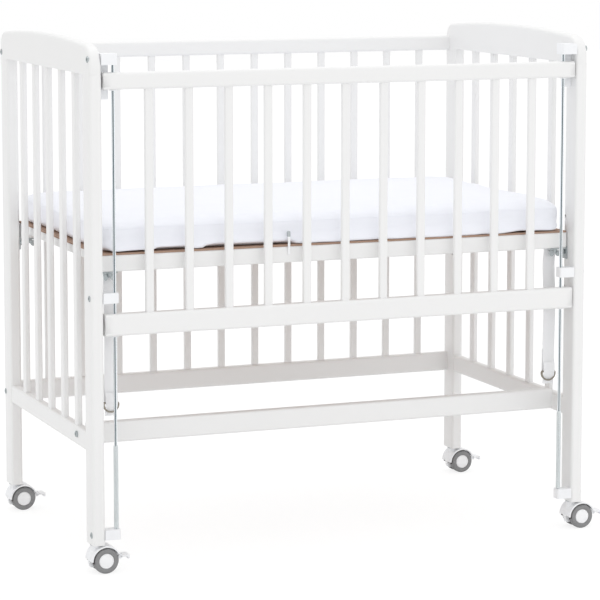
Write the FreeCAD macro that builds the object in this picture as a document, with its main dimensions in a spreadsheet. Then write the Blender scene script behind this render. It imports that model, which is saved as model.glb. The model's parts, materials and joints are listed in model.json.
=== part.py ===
import FreeCAD, Part
import math
import os
import Sketcher

# A bedside sleeper crib: two slatted end frames, a slatted back panel, a drop side that
# slides on two steel rods, a mattress on a bolted base, and four braked twin-wheel casters.
# Frame: +X along the length, +Y from the open side to the back, +Z up, floor at Z = 0,
# origin at the middle of the footprint. Millimetres.

doc = FreeCAD.newDocument("bedside_crib")
sheet = doc.addObject("Spreadsheet::Sheet", "dims")
V = FreeCAD.Vector
SIDES = ("left", "right")


class Size:
    """A length with its spreadsheet expression, so that sums of sizes stay bound."""

    def __init__(self, text, value):
        self.text = text
        self.value = value

    @staticmethod
    def of(other):
        return other if isinstance(other, Size) else Size(repr(float(other)), float(other))

    def joined(self, sign, other, value):
        return Size(f"({self.text} {sign} {other.text})", value)

    def __add__(self, other):
        other = Size.of(other)
        return self.joined("+", other, self.value + other.value)

    def __sub__(self, other):
        other = Size.of(other)
        return self.joined("-", other, self.value - other.value)

    def __mul__(self, other):
        other = Size.of(other)
        return self.joined("*", other, self.value * other.value)

    def __truediv__(self, other):
        other = Size.of(other)
        return self.joined("/", other, self.value / other.value)

    def __radd__(self, other):
        return Size.of(other) + self

    def __rsub__(self, other):
        return Size.of(other) - self

    def __rmul__(self, other):
        return Size.of(other) * self

    def __neg__(self):
        return Size.of(0) - self


def dim(alias, value, words):
    """Write one driving dimension into the next row of the sheet."""
    dim.row += 1
    sheet.set(f"A{dim.row}", words)
    sheet.set(f"B{dim.row}", str(value))
    sheet.setAlias(f"B{dim.row}", alias)
    return Size(f"dims.{alias}", float(value))


dim.row = 0

# ---------------------------------------------------------------- driving dimensions
mattress_length = dim("mattress_length", 900, "length of the mattress")
mattress_depth = dim("mattress_depth", 518, "depth of the mattress")
mattress_height = dim("mattress_height", 50, "height of the mattress at its edges")
mattress_end_gap = dim("mattress_end_gap", 3, "gap between the mattress and an end frame")
mattress_back_gap = dim("mattress_back_gap", 2, "gap between the mattress and the back panel")
mattress_setback = dim("mattress_setback", 30, "mattress behind the front")
post_width = dim("post_width", 22, "post thickness along the length")
post_depth = dim("post_depth", 44, "post width along the depth")
post_bottom = dim("post_bottom", 51.5, "height of the posts' lower ends")
post_top = dim("post_top", 868, "height of the posts' upper ends")
post_round = dim("post_round", 5, "rounding of the posts' edges")

crown_end = dim("crown_end", 51, "height of a crown board near its ends")
crown_arch = dim("crown_arch", 9, "rise of a crown board's arch at its middle")
crown_front_round = dim("crown_front_round", 38, "corner radius of a crown at the front")
crown_back_round = dim("crown_back_round", 26, "corner radius of a crown at the back")
crown_edge = dim("crown_edge", 6, "rounding of a crown's long edges")

rail_round = dim("rail_round", 5, "rounding of the rails' long edges")
end_rail_bottom = dim("end_rail_bottom", 211, "height of the end rails' lower edge")
end_rail_height = dim("end_rail_height", 34, "height of an end rail")
end_rail_thick = dim("end_rail_thick", 18, "thickness of an end rail")
end_slat_width = dim("end_slat_width", 18, "width of an end slat")
end_slat_thick = dim("end_slat_thick", 10, "thickness of an end slat")
end_slat_count = dim("end_slat_count", 5, "slats in one end frame")

back_thick = dim("back_thick", 18, "thickness of the back rails")
back_top_bottom = dim("back_top_bottom", 865, "height of the back top rail's lower edge")
back_top_height = dim("back_top_height", 29, "height of the back top rail")
back_low_bottom = dim("back_low_bottom", 210, "height of the back bottom rail's lower edge")
back_low_height = dim("back_low_height", 38, "height of the back bottom rail")
back_slat_width = dim("back_slat_width", 14, "width of a back slat")
back_slat_count = dim("back_slat_count", 12, "slats in the back panel")

front_rail_setback = dim("front_rail_setback", 88, "front lower rail behind the front")
front_rail_thick = dim("front_rail_thick", 19, "thickness of the front lower rail")
front_rail_bottom = dim("front_rail_bottom", 213, "height of its lower edge")
front_rail_height = dim("front_rail_height", 38, "height of the front lower rail")

side_gap = dim("side_gap", 4, "gap between the drop side and each post")
side_thick = dim("side_thick", 20, "thickness of the drop side's rails")
side_top_bottom = dim("side_top_bottom", 842.5, "height of its top rail's lower edge")
side_top_height = dim("side_top_height", 29.5, "height of the drop side's top rail")
side_low_bottom = dim("side_low_bottom", 417.5, "height of its bottom rail's lower edge")
side_low_height = dim("side_low_height", 38.5, "height of the drop side's bottom rail")
side_slat_width = dim("side_slat_width", 15, "width of a drop side slat")
side_slat_end = dim("side_slat_end", 75, "first drop side slat from the rail's end")
side_slat_count = dim("side_slat_count", 11, "slats in the drop side")
slat_thick = dim("slat_thick", 9, "thickness of the slats in the two long sides")
slat_round = dim("slat_round", 2.5, "rounding of the slats' edges")

rod_inset = dim("rod_inset", 23, "rod axis from the post's inner face")
rod_radius = dim("rod_radius", 3, "radius of a guide rod")
rod_fit = dim("rod_fit", 0.08, "radial running clearance on the rod")
bush_wall = dim("bush_wall", 2, "wall of a guide bush")
bush_flange = dim("bush_flange", 1.5, "height and overhang of a guide bush's flange")
rod_seat = dim("rod_seat", 16, "depth of a rod's end in its top and bottom brackets")

arm_reach = dim("arm_reach", 28.5, "reach of a rod bracket from the post")
arm_depth = dim("arm_depth", 20, "width of a rod bracket's arm along the depth")
top_arm_bottom = dim("top_arm_bottom", 885, "height of the top bracket's arm")
top_arm_height = dim("top_arm_height", 19, "thickness of the top bracket's arm")
housing_width = dim("housing_width", 18, "width of the top bracket's housing")
housing_depth = dim("housing_depth", 7, "depth of the top bracket's housing")
housing_drop = dim("housing_drop", 60, "housing length below the arm")
housing_gap = dim("housing_gap", 1.5, "gap between the drop side and the housing")
middle_arm_bottom = dim("middle_arm_bottom", 475, "height of the middle bracket")
low_arm_bottom = dim("low_arm_bottom", 60, "height of the bottom bracket")
arm_height = dim("arm_height", 18, "height of the middle and bottom brackets")
arm_round = dim("arm_round", 4, "rounding of the brackets' upright edges")

spring_height = dim("spring_height", 146, "height of a buffer spring")
spring_wire = dim("spring_wire", 1.3, "wire diameter of a buffer spring")
spring_play = dim("spring_play", 0.4, "clearance between the spring and the rod")
spring_turns = dim("spring_turns", 16, "turns of a buffer spring")
seat_gap = dim("seat_gap", 0.3, "clearance under a piece that rests or presses")

base_setback = dim("base_setback", 28, "base front rail behind the front")
base_back_gap = dim("base_back_gap", 4, "gap between the base and the back panel")
base_thick = dim("base_thick", 18, "thickness of the base's rails")
base_bottom = dim("base_bottom", 526, "height of the base rails' lower edge")
base_rail_height = dim("base_rail_height", 29, "height of the base's long rails")
base_side_height = dim("base_side_height", 15, "height of the base's short rails")
board_thick = dim("board_thick", 3, "thickness of the mattress board")
bracket_steel = dim("bracket_steel", 2.5, "thickness of a base bracket")
bracket_drop = dim("bracket_drop", 18, "length of a base bracket's leaf below the rail")
bracket_leaf = dim("bracket_leaf", 32, "length of a base bracket's leaf under the rail")

hole_inset = dim("hole_inset", 38.5, "height holes from the post's outer edge")
hole_radius = dim("hole_radius", 3.5, "radius of a height hole")
hole_depth = dim("hole_depth", 15, "depth of a height hole")
hole_pitch = dim("hole_pitch", 32.6, "spacing of the height holes")
hole_first = dim("hole_first", 453.4, "height of the lowest height hole")
hole_count = dim("hole_count", 5, "height holes in each post")
hole_used = dim("hole_used", 2, "holes below the one that carries the base")
screw_radius = dim("screw_radius", 3, "radius of all the bolts and screws")

mattress_crown = dim("mattress_crown", 7, "rise of the mattress's middle")
mattress_corner = dim("mattress_corner", 26, "corner radius of the mattress")
mattress_draw = dim("mattress_draw", 3, "how far its sides draw in between the corners")
mattress_edge = dim("mattress_edge", 9, "rounding of the mattress's long edges")
crown_reach = dim("crown_reach", 150, "how far in from its edge the top goes on rising")
pull_place = dim("pull_place", 371, "zip pull from the left end")
pull_width = dim("pull_width", 6, "width of the zip pull")
pull_length = dim("pull_length", 42, "length of the zip pull with its tape")
slider_depth = dim("slider_depth", 4.5, "depth of the zip's slider")
slider_height = dim("slider_height", 10, "height of the zip's slider")
slider_rise = dim("slider_rise", 14, "slider above the mattress's underside")
slider_gap = dim("slider_gap", 0.1, "gap between the slider and the mattress")
tape_thick = dim("tape_thick", 2, "thickness of the zip pull's tape")

strap_width = dim("strap_width", 24, "width of the tie straps")
strap_thick = dim("strap_thick", 2.6, "thickness of a doubled tie strap")
strap_length = dim("strap_length", 241, "length of a doubled tie strap")
strap_lap = dim("strap_lap", 11, "how far a tie strap laps up the base's front rail")
wing_place = dim("wing_place", 22, "wing bolt from the post's inner face")
wing_shank = dim("wing_shank", 22, "length of a wing bolt's shank above its neck")
wing_neck = dim("wing_neck", 5, "height of a wing bolt's neck")
wing_neck_radius = dim("wing_neck_radius", 4.6, "radius of a wing bolt's neck")
wing_span = dim("wing_span", 22, "width over a wing bolt's wings")
wing_height = dim("wing_height", 13, "height of a wing bolt's wings")
wing_thick = dim("wing_thick", 3, "thickness of a wing bolt's wings")
post_screw_length = dim("post_screw_length", 12, "depth of a base screw in its post")
post_screw_head = dim("post_screw_head", 5, "radius of a base screw's head")

strap_inset = dim("strap_inset", 15, "tie strap from the post's inner face")
strap_wave = dim("strap_wave", 3.5, "depth of the folds in a hanging strap")
ring_wire = dim("ring_wire", 2.8, "wire diameter of a strap ring")
ring_width = dim("ring_width", 24, "inner width of a strap ring")
ring_corner = dim("ring_corner", 4, "corner radius of a strap ring")
ring_gap = dim("ring_gap", 0.4, "gap between a strap's two rings")

bolt_head = dim("bolt_head", 5.5, "radius of a frame bolt's head")
bolt_proud = dim("bolt_proud", 1.5, "how far a frame bolt's head stands out")
bolt_grip = dim("bolt_grip", 50, "length of a bolt that enters a rail")
bolt_fit = dim("bolt_fit", 0.4, "radial clearance of a bolt's hole")
nut_radius = dim("nut_radius", 5, "radius of a barrel nut")
nut_inset = dim("nut_inset", 8, "barrel nut from the bolt's end")
bolt_clear = dim("bolt_clear", 6, "gap between a bracket's bolt and the rod")
socket_radius = dim("socket_radius", 2, "radius of a bolt's socket")

caster_trail = dim("caster_trail", 13.5, "wheel axle behind the swivel axis")
wheel_radius = dim("wheel_radius", 22.5, "radius over the tyre")
wheel_width = dim("wheel_width", 14, "width of one wheel")
wheel_gap = dim("wheel_gap", 12, "gap between a caster's two wheels")
tyre_slope = dim("tyre_slope", 3.5, "width and height of a tyre's sloped shoulder")
shoulder = dim("shoulder", 1.05, "how far a shoulder's middle stands from its corner")
cap_radius = dim("cap_radius", 13.4, "radius of a wheel's core")
cap_thick = dim("cap_thick", 2.5, "closed outer end of a wheel's core")
axle_radius = dim("axle_radius", 2.5, "radius of an axle")
turn_fit = dim("turn_fit", 0.05, "radial running clearance of axles, stems and pins")
web_thick = dim("web_thick", 10, "thickness of a hood's middle web")
hood_gap = dim("hood_gap", 1.8, "clearance between the wheels and the hood")
hood_wall = dim("hood_wall", 2.7, "wall of the hood")
hood_rise = dim("hood_rise", 11, "the hood's edge above the axle on the pedal's side")
web_drop = dim("web_drop", 12, "the middle web below the axle")
boss_radius = dim("boss_radius", 9.5, "radius of the hood's swivel boss")
stem_radius = dim("stem_radius", 4, "radius of a caster's stem")
stem_inside = dim("stem_inside", 38, "depth of a stem's bore in its post")
stem_short = dim("stem_short", 2, "gap between a stem's upper end and its bore's")
stem_rise = dim("stem_rise", 8, "a stem's lower end above the wheels' axle")
plate_radius = dim("plate_radius", 10.5, "radius of a stem's collar")
plate_thick = dim("plate_thick", 2, "thickness of a stem's collar")
pedal_reach = dim("pedal_reach", 58, "pedal tip from the swivel axis")
pedal_width = dim("pedal_width", 24, "width of a brake pedal")
pedal_thick = dim("pedal_thick", 3, "thickness of a brake pedal")
pedal_lip = dim("pedal_lip", 7, "height of a pedal's turned-down lip")
pedal_slot = dim("pedal_slot", 30, "height of the slot that clears the hood's web")
pedal_side = dim("pedal_side", 0.4, "gap between the pedal's cheeks and the web")
pedal_pin = dim("pedal_pin", 1.8, "radius of a brake pedal's pin")
pivot_rise = dim("pivot_rise", 4.5, "pedal pin above the axle")
knuckle_radius = dim("knuckle_radius", 4, "radius of a brake pedal's knuckle")
doc.recompute()

# ---------------------------------------------------------------- shared places
half = 0.5
past = 1     # how far a cutting tool runs past the face that it opens
lap = 0.5    # how far a bolt's shank runs into its head
length = mattress_length + 2 * (mattress_end_gap + post_width)
depth = mattress_setback + mattress_depth + mattress_back_gap + back_thick
pedal_out = pedal_reach - post_width * half
hood_out = wheel_radius + hood_gap + hood_wall - caster_trail - post_width * half
left_face = -(length + pedal_out - hood_out) * half
right_face = left_face + length
front_face = -depth * half
back_face = depth * half
clear_length = length - 2 * post_width
left_inner = left_face + post_width
right_inner = right_face - post_width
crown_middle_height = crown_end + crown_arch

back_front = back_face - back_thick
back_mid = back_face - back_thick * half
side_left = left_inner + side_gap
side_length = clear_length - 2 * side_gap
side_mid = front_face + side_thick * half
middle_x = left_face + length * half
rod_x = {"left": left_inner + rod_inset, "right": right_inner - rod_inset}
rod_bottom = low_arm_bottom + 2
rod_top = top_arm_bottom + rod_seat
base_front = front_face + base_setback
base_back = back_front - base_back_gap
base_left = left_inner + bracket_steel + 2 * seat_gap
base_length = clear_length - 2 * bracket_steel - 4 * seat_gap
board_bottom = base_bottom + base_rail_height
mattress_bottom = board_bottom + board_thick + seat_gap
used_hole = hole_first + hole_used * hole_pitch
post_x = {"left": left_face, "right": right_inner}
post_y = {"front": front_face, "back": back_face - post_depth}


# ---------------------------------------------------------------- making and binding
def bind(item, name, value):
    item.setExpression(name, Size.of(value).text)


def place(item, x, y, z):
    for axis, value in zip("xyz", (x, y, z)):
        bind(item, f"Placement.Base.{axis}", value)


def new_body(label):
    body = doc.addObject("PartDesign::Body", label)
    body.Label = label
    body.AllowCompound = True
    return body


def new_sketch(body, role, name, offset=0):
    plane = next(o for o in body.Origin.OriginFeatures if o.Role == role)
    sketch = body.newObject("Sketcher::SketchObject", name)
    sketch.AttachmentSupport = [(plane, "")]
    sketch.MapMode = "FlatFace"
    if isinstance(offset, Size):
        bind(sketch, "AttachmentOffset.Base.z", offset)
    return sketch


def fix_point(sketch, geo, end, x, y):
    """Hold one point of a sketch at sizes measured from the sketch's origin."""
    for kind, axis, value in (("DistanceX", -2, x), ("DistanceY", -1, y)):
        value = Size.of(value)
        if value.text == "0.0":
            sketch.addConstraint(Sketcher.Constraint("PointOnObject", geo, end, axis))
            continue
        row = sketch.addConstraint(Sketcher.Constraint(kind, -1, 1, geo, end, value.value))
        sketch.setExpression(f"Constraints[{row}]", value.text)


def polygon(sketch, points):
    """A closed outline of straight lines through bound points."""
    sized = [(Size.of(x), Size.of(y)) for x, y in points]
    start = sketch.GeometryCount
    count = len(sized)
    for here, after in zip(sized, sized[1:] + sized[:1]):
        a = V(here[0].value, here[1].value, 0)
        b = V(after[0].value, after[1].value, 0)
        sketch.addGeometry(Part.LineSegment(a, b), False)
    for k in range(count):
        after = start + (k + 1) % count
        sketch.addConstraint(Sketcher.Constraint("Coincident", start + k, 2, after, 1))
        fix_point(sketch, start + k, 1, *sized[k])


def rectangle(sketch, x, y, width, height):
    x, y = Size.of(x), Size.of(y)
    polygon(sketch, [(x, y), (x + width, y), (x + width, y + height), (x, y + height)])


def circle(sketch, x, y, radius):
    x, y, radius = Size.of(x), Size.of(y), Size.of(radius)
    round_shape = Part.Circle(V(x.value, y.value, 0), V(0, 0, 1), radius.value)
    geo = sketch.addGeometry(round_shape, False)
    fix_point(sketch, geo, 3, x, y)
    row = sketch.addConstraint(Sketcher.Constraint("Radius", geo, radius.value))
    sketch.setExpression(f"Constraints[{row}]", radius.text)


def pad(body, sketch, height, both_ways=False):
    feature = body.newObject("PartDesign::Pad", f"{sketch.Name}_pad")
    feature.Profile = sketch
    bind(feature, "Length", height)
    if both_ways:
        feature.Midplane = True
    body.Tip = feature
    return feature


def pocket(body, sketch, cut_depth, reverse=False, both_ways=False):
    doc.recompute()
    before = body.Shape.Volume
    feature = body.newObject("PartDesign::Pocket", f"{sketch.Name}_pocket")
    feature.Profile = sketch
    feature.Reversed = reverse
    feature.Midplane = both_ways
    bind(feature, "Length", cut_depth)
    body.Tip = feature
    doc.recompute()
    if body.Shape.Volume >= before:
        raise RuntimeError(f"{feature.Name} removes nothing")
    return feature


def turned(body, sketch, axis="H_Axis"):
    feature = body.newObject("PartDesign::Revolution", f"{sketch.Name}_turn")
    feature.Profile = sketch
    feature.ReferenceAxis = (sketch, [axis])
    feature.Angle = 360
    body.Tip = feature
    return feature


def edges_along(feature, direction, keep=None):
    """Names of a feature's straight edges along a direction, by their mid-points."""
    doc.recompute()
    names = []
    for number, edge in enumerate(feature.Shape.Edges, 1):
        if edge.Curve.TypeId != "Part::GeomLine":
            continue
        if edge.tangentAt(edge.FirstParameter).cross(direction).Length > 1e-6:
            continue
        if keep is None or keep(edge.CenterOfMass):
            names.append(f"Edge{number}")
    return names


def round_edges(body, feature, names, radius):
    rounding = body.newObject("PartDesign::Fillet", f"{feature.Name}_round")
    rounding.Base = (feature, names)
    bind(rounding, "Radius", radius)
    body.Tip = rounding
    return rounding


ALONG = {"X": V(1, 0, 0), "Y": V(0, 1, 0), "Z": V(0, 0, 1)}


def board(label, size, at, along=None, radius=None, bores=()):
    """A squared length of wood, with its edges along one axis rounded.

    Each bore is upright: its place along X and Y on the board, and its radius."""
    body = new_body(label)
    sketch = new_sketch(body, "XY_Plane", f"{label}_outline")
    rectangle(sketch, 0, 0, size[0], size[1])
    for bore in bores:
        circle(sketch, *bore)
    wood = pad(body, sketch, size[2])
    if along:
        round_edges(body, wood, edges_along(wood, ALONG[along]), radius)
    place(body, *at)
    return body


def slats(label, size, at, pitch, count, role):
    """A row of upright slats: one slat, rounded and repeated along a sketch axis."""
    body = new_body(label)
    sketch = new_sketch(body, "XY_Plane", f"{label}_outline")
    rectangle(sketch, 0, 0, size[0], size[1])
    wood = pad(body, sketch, size[2])
    soft = round_edges(body, wood, edges_along(wood, ALONG["Z"]), slat_round)
    doc.recompute()
    row = body.newObject("PartDesign::LinearPattern", f"{label}_row")
    row.Originals = [wood, soft]
    row.Direction = (sketch, [role])
    bind(row, "Length", pitch * (count - 1))
    bind(row, "Occurrences", count)
    body.Tip = row
    place(body, *at)
    return body


def part_box(name, size, at):
    item = doc.addObject("Part::Box", name)
    for side, value in zip(("Length", "Width", "Height"), size):
        bind(item, side, value)
    place(item, *at)
    return item


def part_rod(name, radius, height, at, axis="Z"):
    item = doc.addObject("Part::Cylinder", name)
    bind(item, "Radius", radius)
    bind(item, "Height", height)
    turns = {"Z": (V(0, 0, 1), 0), "X": (V(0, 1, 0), 90), "Y": (V(1, 0, 0), -90)}
    item.Placement.Rotation = FreeCAD.Rotation(*turns[axis])
    place(item, *at)
    return item


def joined(label, pieces):
    if len(pieces) == 1:
        pieces[0].Label = label
        return pieces[0]
    item = doc.addObject("Part::MultiFuse", label)
    item.Label = label
    item.Shapes = pieces
    return item


def cut(label, solid, tool):
    item = doc.addObject("Part::Cut", label)
    item.Label = label
    item.Base = solid
    item.Tool = tool
    return item


nodes = []


def keep(item):
    nodes.append(item)
    return item


# ---------------------------------------------------------------- end frames
def post(side, end):
    """A post with its rounded edges, the row of height holes and the stem's bore."""
    label = f"{side}_{end}_post"
    body = new_body(label)
    outline = new_sketch(body, "XY_Plane", f"{label}_outline")
    rectangle(outline, 0, 0, post_width, post_depth)
    wood = pad(body, outline, post_top - post_bottom)
    soft = round_edges(body, wood, edges_along(wood, ALONG["Z"]), post_round)
    doc.recompute()
    inner = post_width if side == "left" else Size.of(0)
    inset = hole_inset if end == "front" else post_depth - hole_inset
    first = new_sketch(body, "YZ_Plane", f"{label}_hole", inner)
    circle(first, inset, hole_first - post_bottom, hole_radius)
    drilled = pocket(body, first, hole_depth, reverse=(side == "right"))
    row = body.newObject("PartDesign::LinearPattern", f"{label}_holes")
    row.Originals = [drilled]
    row.Direction = (first, ["V_Axis"])
    bind(row, "Length", hole_pitch * (hole_count - 1))
    bind(row, "Occurrences", hole_count)
    body.Tip = row
    doc.recompute()
    stem = new_sketch(body, "XY_Plane", f"{label}_stem")
    circle(stem, post_width * half, post_depth * half, stem_radius)
    pocket(body, stem, stem_inside, reverse=True)
    bolts = new_sketch(body, "YZ_Plane", f"{label}_bolts")
    for y, z in bolt_places[end]:
        circle(bolts, y - post_y[end], z - post_bottom, screw_radius + bolt_fit)
    pocket(body, bolts, post_width, reverse=True)
    place(body, post_x[side], post_y[end], post_bottom)
    return body


def crown(side):
    """The board on top of two posts: an arched top that runs into two rounded corners."""
    label = f"{side}_crown"
    body = new_body(label)
    outline = new_sketch(body, "YZ_Plane", f"{label}_outline")
    wide, high = depth.value, crown_end.value
    back_r, front_r = crown_back_round.value, crown_front_round.value
    span = depth - crown_front_round - crown_back_round
    arch_radius = span * span / (8 * crown_arch) + crown_arch * half
    lean = math.asin(span.value / 2 / arch_radius.value)
    arch_centre = V((front_r + wide - back_r) / 2, crown_middle_height.value, 0)
    arch_centre.y -= arch_radius.value
    quarter = math.pi / 2

    def arc(centre, radius, start, finish):
        whole = Part.Circle(centre, V(0, 0, 1), radius)
        outline.addGeometry(Part.ArcOfCircle(whole, start, finish), False)

    outline.addGeometry(Part.LineSegment(V(0, 0, 0), V(wide, 0, 0)), False)
    outline.addGeometry(Part.LineSegment(V(wide, 0, 0), V(wide, high - back_r, 0)), False)
    arc(V(wide - back_r, high - back_r, 0), back_r, 0, quarter - lean)
    arc(arch_centre, arch_radius.value, quarter - lean, quarter + lean)
    arc(V(front_r, high - front_r, 0), front_r, quarter + lean, 2 * quarter)
    outline.addGeometry(Part.LineSegment(V(0, high - front_r, 0), V(0, 0, 0)), False)
    outline.addConstraint(Sketcher.Constraint("Coincident", 0, 2, 1, 1))
    outline.addConstraint(Sketcher.Constraint("Coincident", 5, 2, 0, 1))
    fix_point(outline, 0, 1, 0, 0)
    fix_point(outline, 0, 2, depth, 0)
    for line in (1, 5):
        outline.addConstraint(Sketcher.Constraint("Vertical", line))
    for geo in (1, 2, 3, 4):
        outline.addConstraint(Sketcher.Constraint("Tangent", geo, 2, geo + 1, 1))
    for geo, radius in ((2, crown_back_round), (3, arch_radius), (4, crown_front_round)):
        row = outline.addConstraint(Sketcher.Constraint("Radius", geo, radius.value))
        outline.setExpression(f"Constraints[{row}]", radius.text)
    sink = arch_radius - crown_middle_height
    row = outline.addConstraint(Sketcher.Constraint("DistanceY", 3, 3, -1, 1, sink.value))
    outline.setExpression(f"Constraints[{row}]", sink.text)
    wood = pad(body, outline, post_width)
    doc.recompute()
    rim = []
    for number, edge in enumerate(wood.Shape.Edges, 1):
        middle = edge.valueAt((edge.FirstParameter + edge.LastParameter) / 2)
        on_face = min(middle.x, post_width.value - middle.x) < 1e-6
        if on_face and middle.z > 1e-6:
            rim.append(f"Edge{number}")
    round_edges(body, wood, rim, crown_edge)
    bolts = new_sketch(body, "YZ_Plane", f"{label}_bolts")
    for y, z in bolt_places["crown"]:
        circle(bolts, y - front_face, z - post_top, screw_radius + bolt_fit)
    pocket(body, bolts, post_width, reverse=True)
    place(body, post_x[side], front_face, post_top)
    return body


back_bolt_low = back_low_bottom + back_low_height * half
back_bolt_top = back_top_bottom + back_top_height * half
front_bolt = (front_face + front_rail_setback + front_rail_thick * half,
              front_rail_bottom + front_rail_height * half)
bracket_bolt_y = front_face + arm_depth * half
bolt_places = {
    "front": [(bracket_bolt_y, low_arm_bottom + arm_height * half),
              (bracket_bolt_y, middle_arm_bottom + arm_height * half)],
    "back": [(back_mid, back_bolt_low)],
    "crown": [(bracket_bolt_y, top_arm_bottom + top_arm_height * half),
              (back_mid, back_bolt_top)],
}
end_rail_length = depth - 2 * post_depth
end_rail_inset = (post_width - end_rail_thick) * half
end_slat_inset = (post_width - end_slat_thick) * half
end_slat_gap = (end_rail_length - end_slat_count * end_slat_width) / (end_slat_count + 1)
end_slat_foot = end_rail_bottom + end_rail_height

for side in SIDES:
    for end in ("front", "back"):
        keep(post(side, end))
    keep(crown(side))

for side in SIDES:
    label = f"{side}_end_rail"
    rail = new_body(label)
    outline = new_sketch(rail, "XY_Plane", f"{label}_outline")
    rectangle(outline, 0, 0, end_rail_thick, end_rail_length)
    wood = pad(rail, outline, end_rail_height)
    round_edges(rail, wood, edges_along(wood, ALONG["Y"]), rail_round)
    bolt = new_sketch(rail, "YZ_Plane", f"{label}_bolt")
    along = front_bolt[0] - post_y["front"] - post_depth
    circle(bolt, along, front_bolt[1] - end_rail_bottom, screw_radius + bolt_fit)
    pocket(rail, bolt, end_rail_thick, reverse=True)
    place(rail, post_x[side] + end_rail_inset, post_y["front"] + post_depth, end_rail_bottom)
    keep(rail)
    keep(slats(f"{side}_end_slats",
               (end_slat_thick, end_slat_width, post_top - end_slat_foot),
               (post_x[side] + end_slat_inset,
                post_y["front"] + post_depth + end_slat_gap, end_slat_foot),
               end_slat_width + end_slat_gap, end_slat_count, "V_Axis"))


# ---------------------------------------------------------------- long sides
def end_bores(body, label, rail_length, y, z):
    """The long holes in a rail's two ends, where its bolts go."""
    for name, offset, back in (("start", Size.of(0), True), ("finish", rail_length, False)):
        sketch = new_sketch(body, "YZ_Plane", f"{label}_{name}_bore", offset)
        circle(sketch, y, z, screw_radius + bolt_fit)
        pocket(body, sketch, bolt_grip, reverse=back)


def nut_bores(body, label, rail_length, z, thick):
    """The cross holes that hold the barrel nuts."""
    from_end = bolt_grip - post_width - nut_inset
    sketch = new_sketch(body, "XZ_Plane", f"{label}_nut_bores")
    circle(sketch, from_end, z, nut_radius + bolt_fit * half)
    circle(sketch, rail_length - from_end, z, nut_radius + bolt_fit * half)
    pocket(body, sketch, 2 * thick, both_ways=True)


def bolted_rail(label, rail_length, thick, height, at):
    """A rail held by a bolt and a barrel nut at each end."""
    body = board(label, (rail_length, thick, height), at, "X", rail_round)
    doc.recompute()
    end_bores(body, label, rail_length, thick * half, height * half)
    nut_bores(body, label, rail_length, height * half, thick)
    return body


keep(bolted_rail("back_top_rail", clear_length, back_thick, back_top_height,
                 (left_inner, back_front, back_top_bottom)))
keep(bolted_rail("back_bottom_rail", clear_length, back_thick, back_low_height,
                 (left_inner, back_front, back_low_bottom)))
back_slat_foot = back_low_bottom + back_low_height
back_slat_gap = (clear_length - back_slat_count * back_slat_width) / (back_slat_count + 1)
keep(slats("back_slats", (back_slat_width, slat_thick, back_top_bottom - back_slat_foot),
           (left_inner + back_slat_gap, back_mid - slat_thick * half, back_slat_foot),
           back_slat_width + back_slat_gap, back_slat_count, "H_Axis"))

front_rail_length = length - 2 * (end_rail_inset + end_rail_thick)
keep(bolted_rail("front_lower_rail", front_rail_length, front_rail_thick, front_rail_height,
                 (left_face + end_rail_inset + end_rail_thick,
                  front_face + front_rail_setback, front_rail_bottom)))

# ---------------------------------------------------------------- drop side
bush_radius = rod_radius + rod_fit + bush_wall
bush_bores = [(rod_x[side] - side_left, side_thick * half, bush_radius) for side in SIDES]
keep(board("drop_top_rail", (side_length, side_thick, side_top_height),
           (side_left, front_face, side_top_bottom), "X", rail_round, bush_bores))
keep(board("drop_bottom_rail", (side_length, side_thick, side_low_height),
           (side_left, front_face, side_low_bottom), "X", rail_round, bush_bores))
side_slat_foot = side_low_bottom + side_low_height
side_slat_span = side_length - 2 * side_slat_end - side_slat_width
keep(slats("drop_slats", (side_slat_width, slat_thick, side_top_bottom - side_slat_foot),
           (side_left + side_slat_end, side_mid - slat_thick * half, side_slat_foot),
           side_slat_span / (side_slat_count - 1), side_slat_count, "H_Axis"))


def bush(side, name, foot, height):
    """A flanged plastic bush through a rail, running on the rod."""
    tube = part_rod(f"{side}_{name}_tube", bush_radius, height,
                    (rod_x[side], side_mid, foot))
    flange = part_rod(f"{side}_{name}_flange", bush_radius + bush_flange, bush_flange,
                      (rod_x[side], side_mid, foot - bush_flange))
    solid = joined(f"{side}_{name}_solid", [tube, flange])
    bore = part_rod(f"{side}_{name}_bore", rod_radius + rod_fit, height + 4 * bush_flange,
                    (rod_x[side], side_mid, foot - 2 * bush_flange))
    return cut(f"{side}_{name}_bush", solid, bore)


bushes = []
for side in SIDES:
    bushes.append(bush(side, "top", side_top_bottom, side_top_height))
    bushes.append(bush(side, "low", side_low_bottom, side_low_height))
keep(joined("drop_guide_bushes", bushes))

# ---------------------------------------------------------------- rods and brackets
for side in SIDES:
    keep(part_rod(f"{side}_guide_rod", rod_radius, rod_top - rod_bottom,
                  (rod_x[side], side_mid, rod_bottom)))


def arm(side, name, foot, height, reach_back=0):
    """A bracket's arm from the post's inner face to past the rod, its far end rounded."""
    body = new_body(f"{side}_{name}_arm")
    outline = new_sketch(body, "XY_Plane", f"{side}_{name}_arm_outline")
    rectangle(outline, 0, 0, arm_reach, arm_depth + reach_back)
    block = pad(body, outline, height)
    far = arm_reach.value if side == "left" else 0
    free = edges_along(block, ALONG["Z"], lambda mid: abs(mid.x - far) < 1e-6)
    round_edges(body, block, free, arm_round)
    start = left_inner if side == "left" else right_inner - arm_reach
    place(body, start, front_face, foot)
    return body


def housing(side):
    """The tall block of the top bracket, behind the drop side."""
    start = left_inner if side == "left" else right_inner - housing_width
    return part_box(f"{side}_top_housing", (housing_width, housing_depth, housing_drop + 1),
                    (start, front_face + side_thick + housing_gap,
                     top_arm_bottom - housing_drop))


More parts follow.
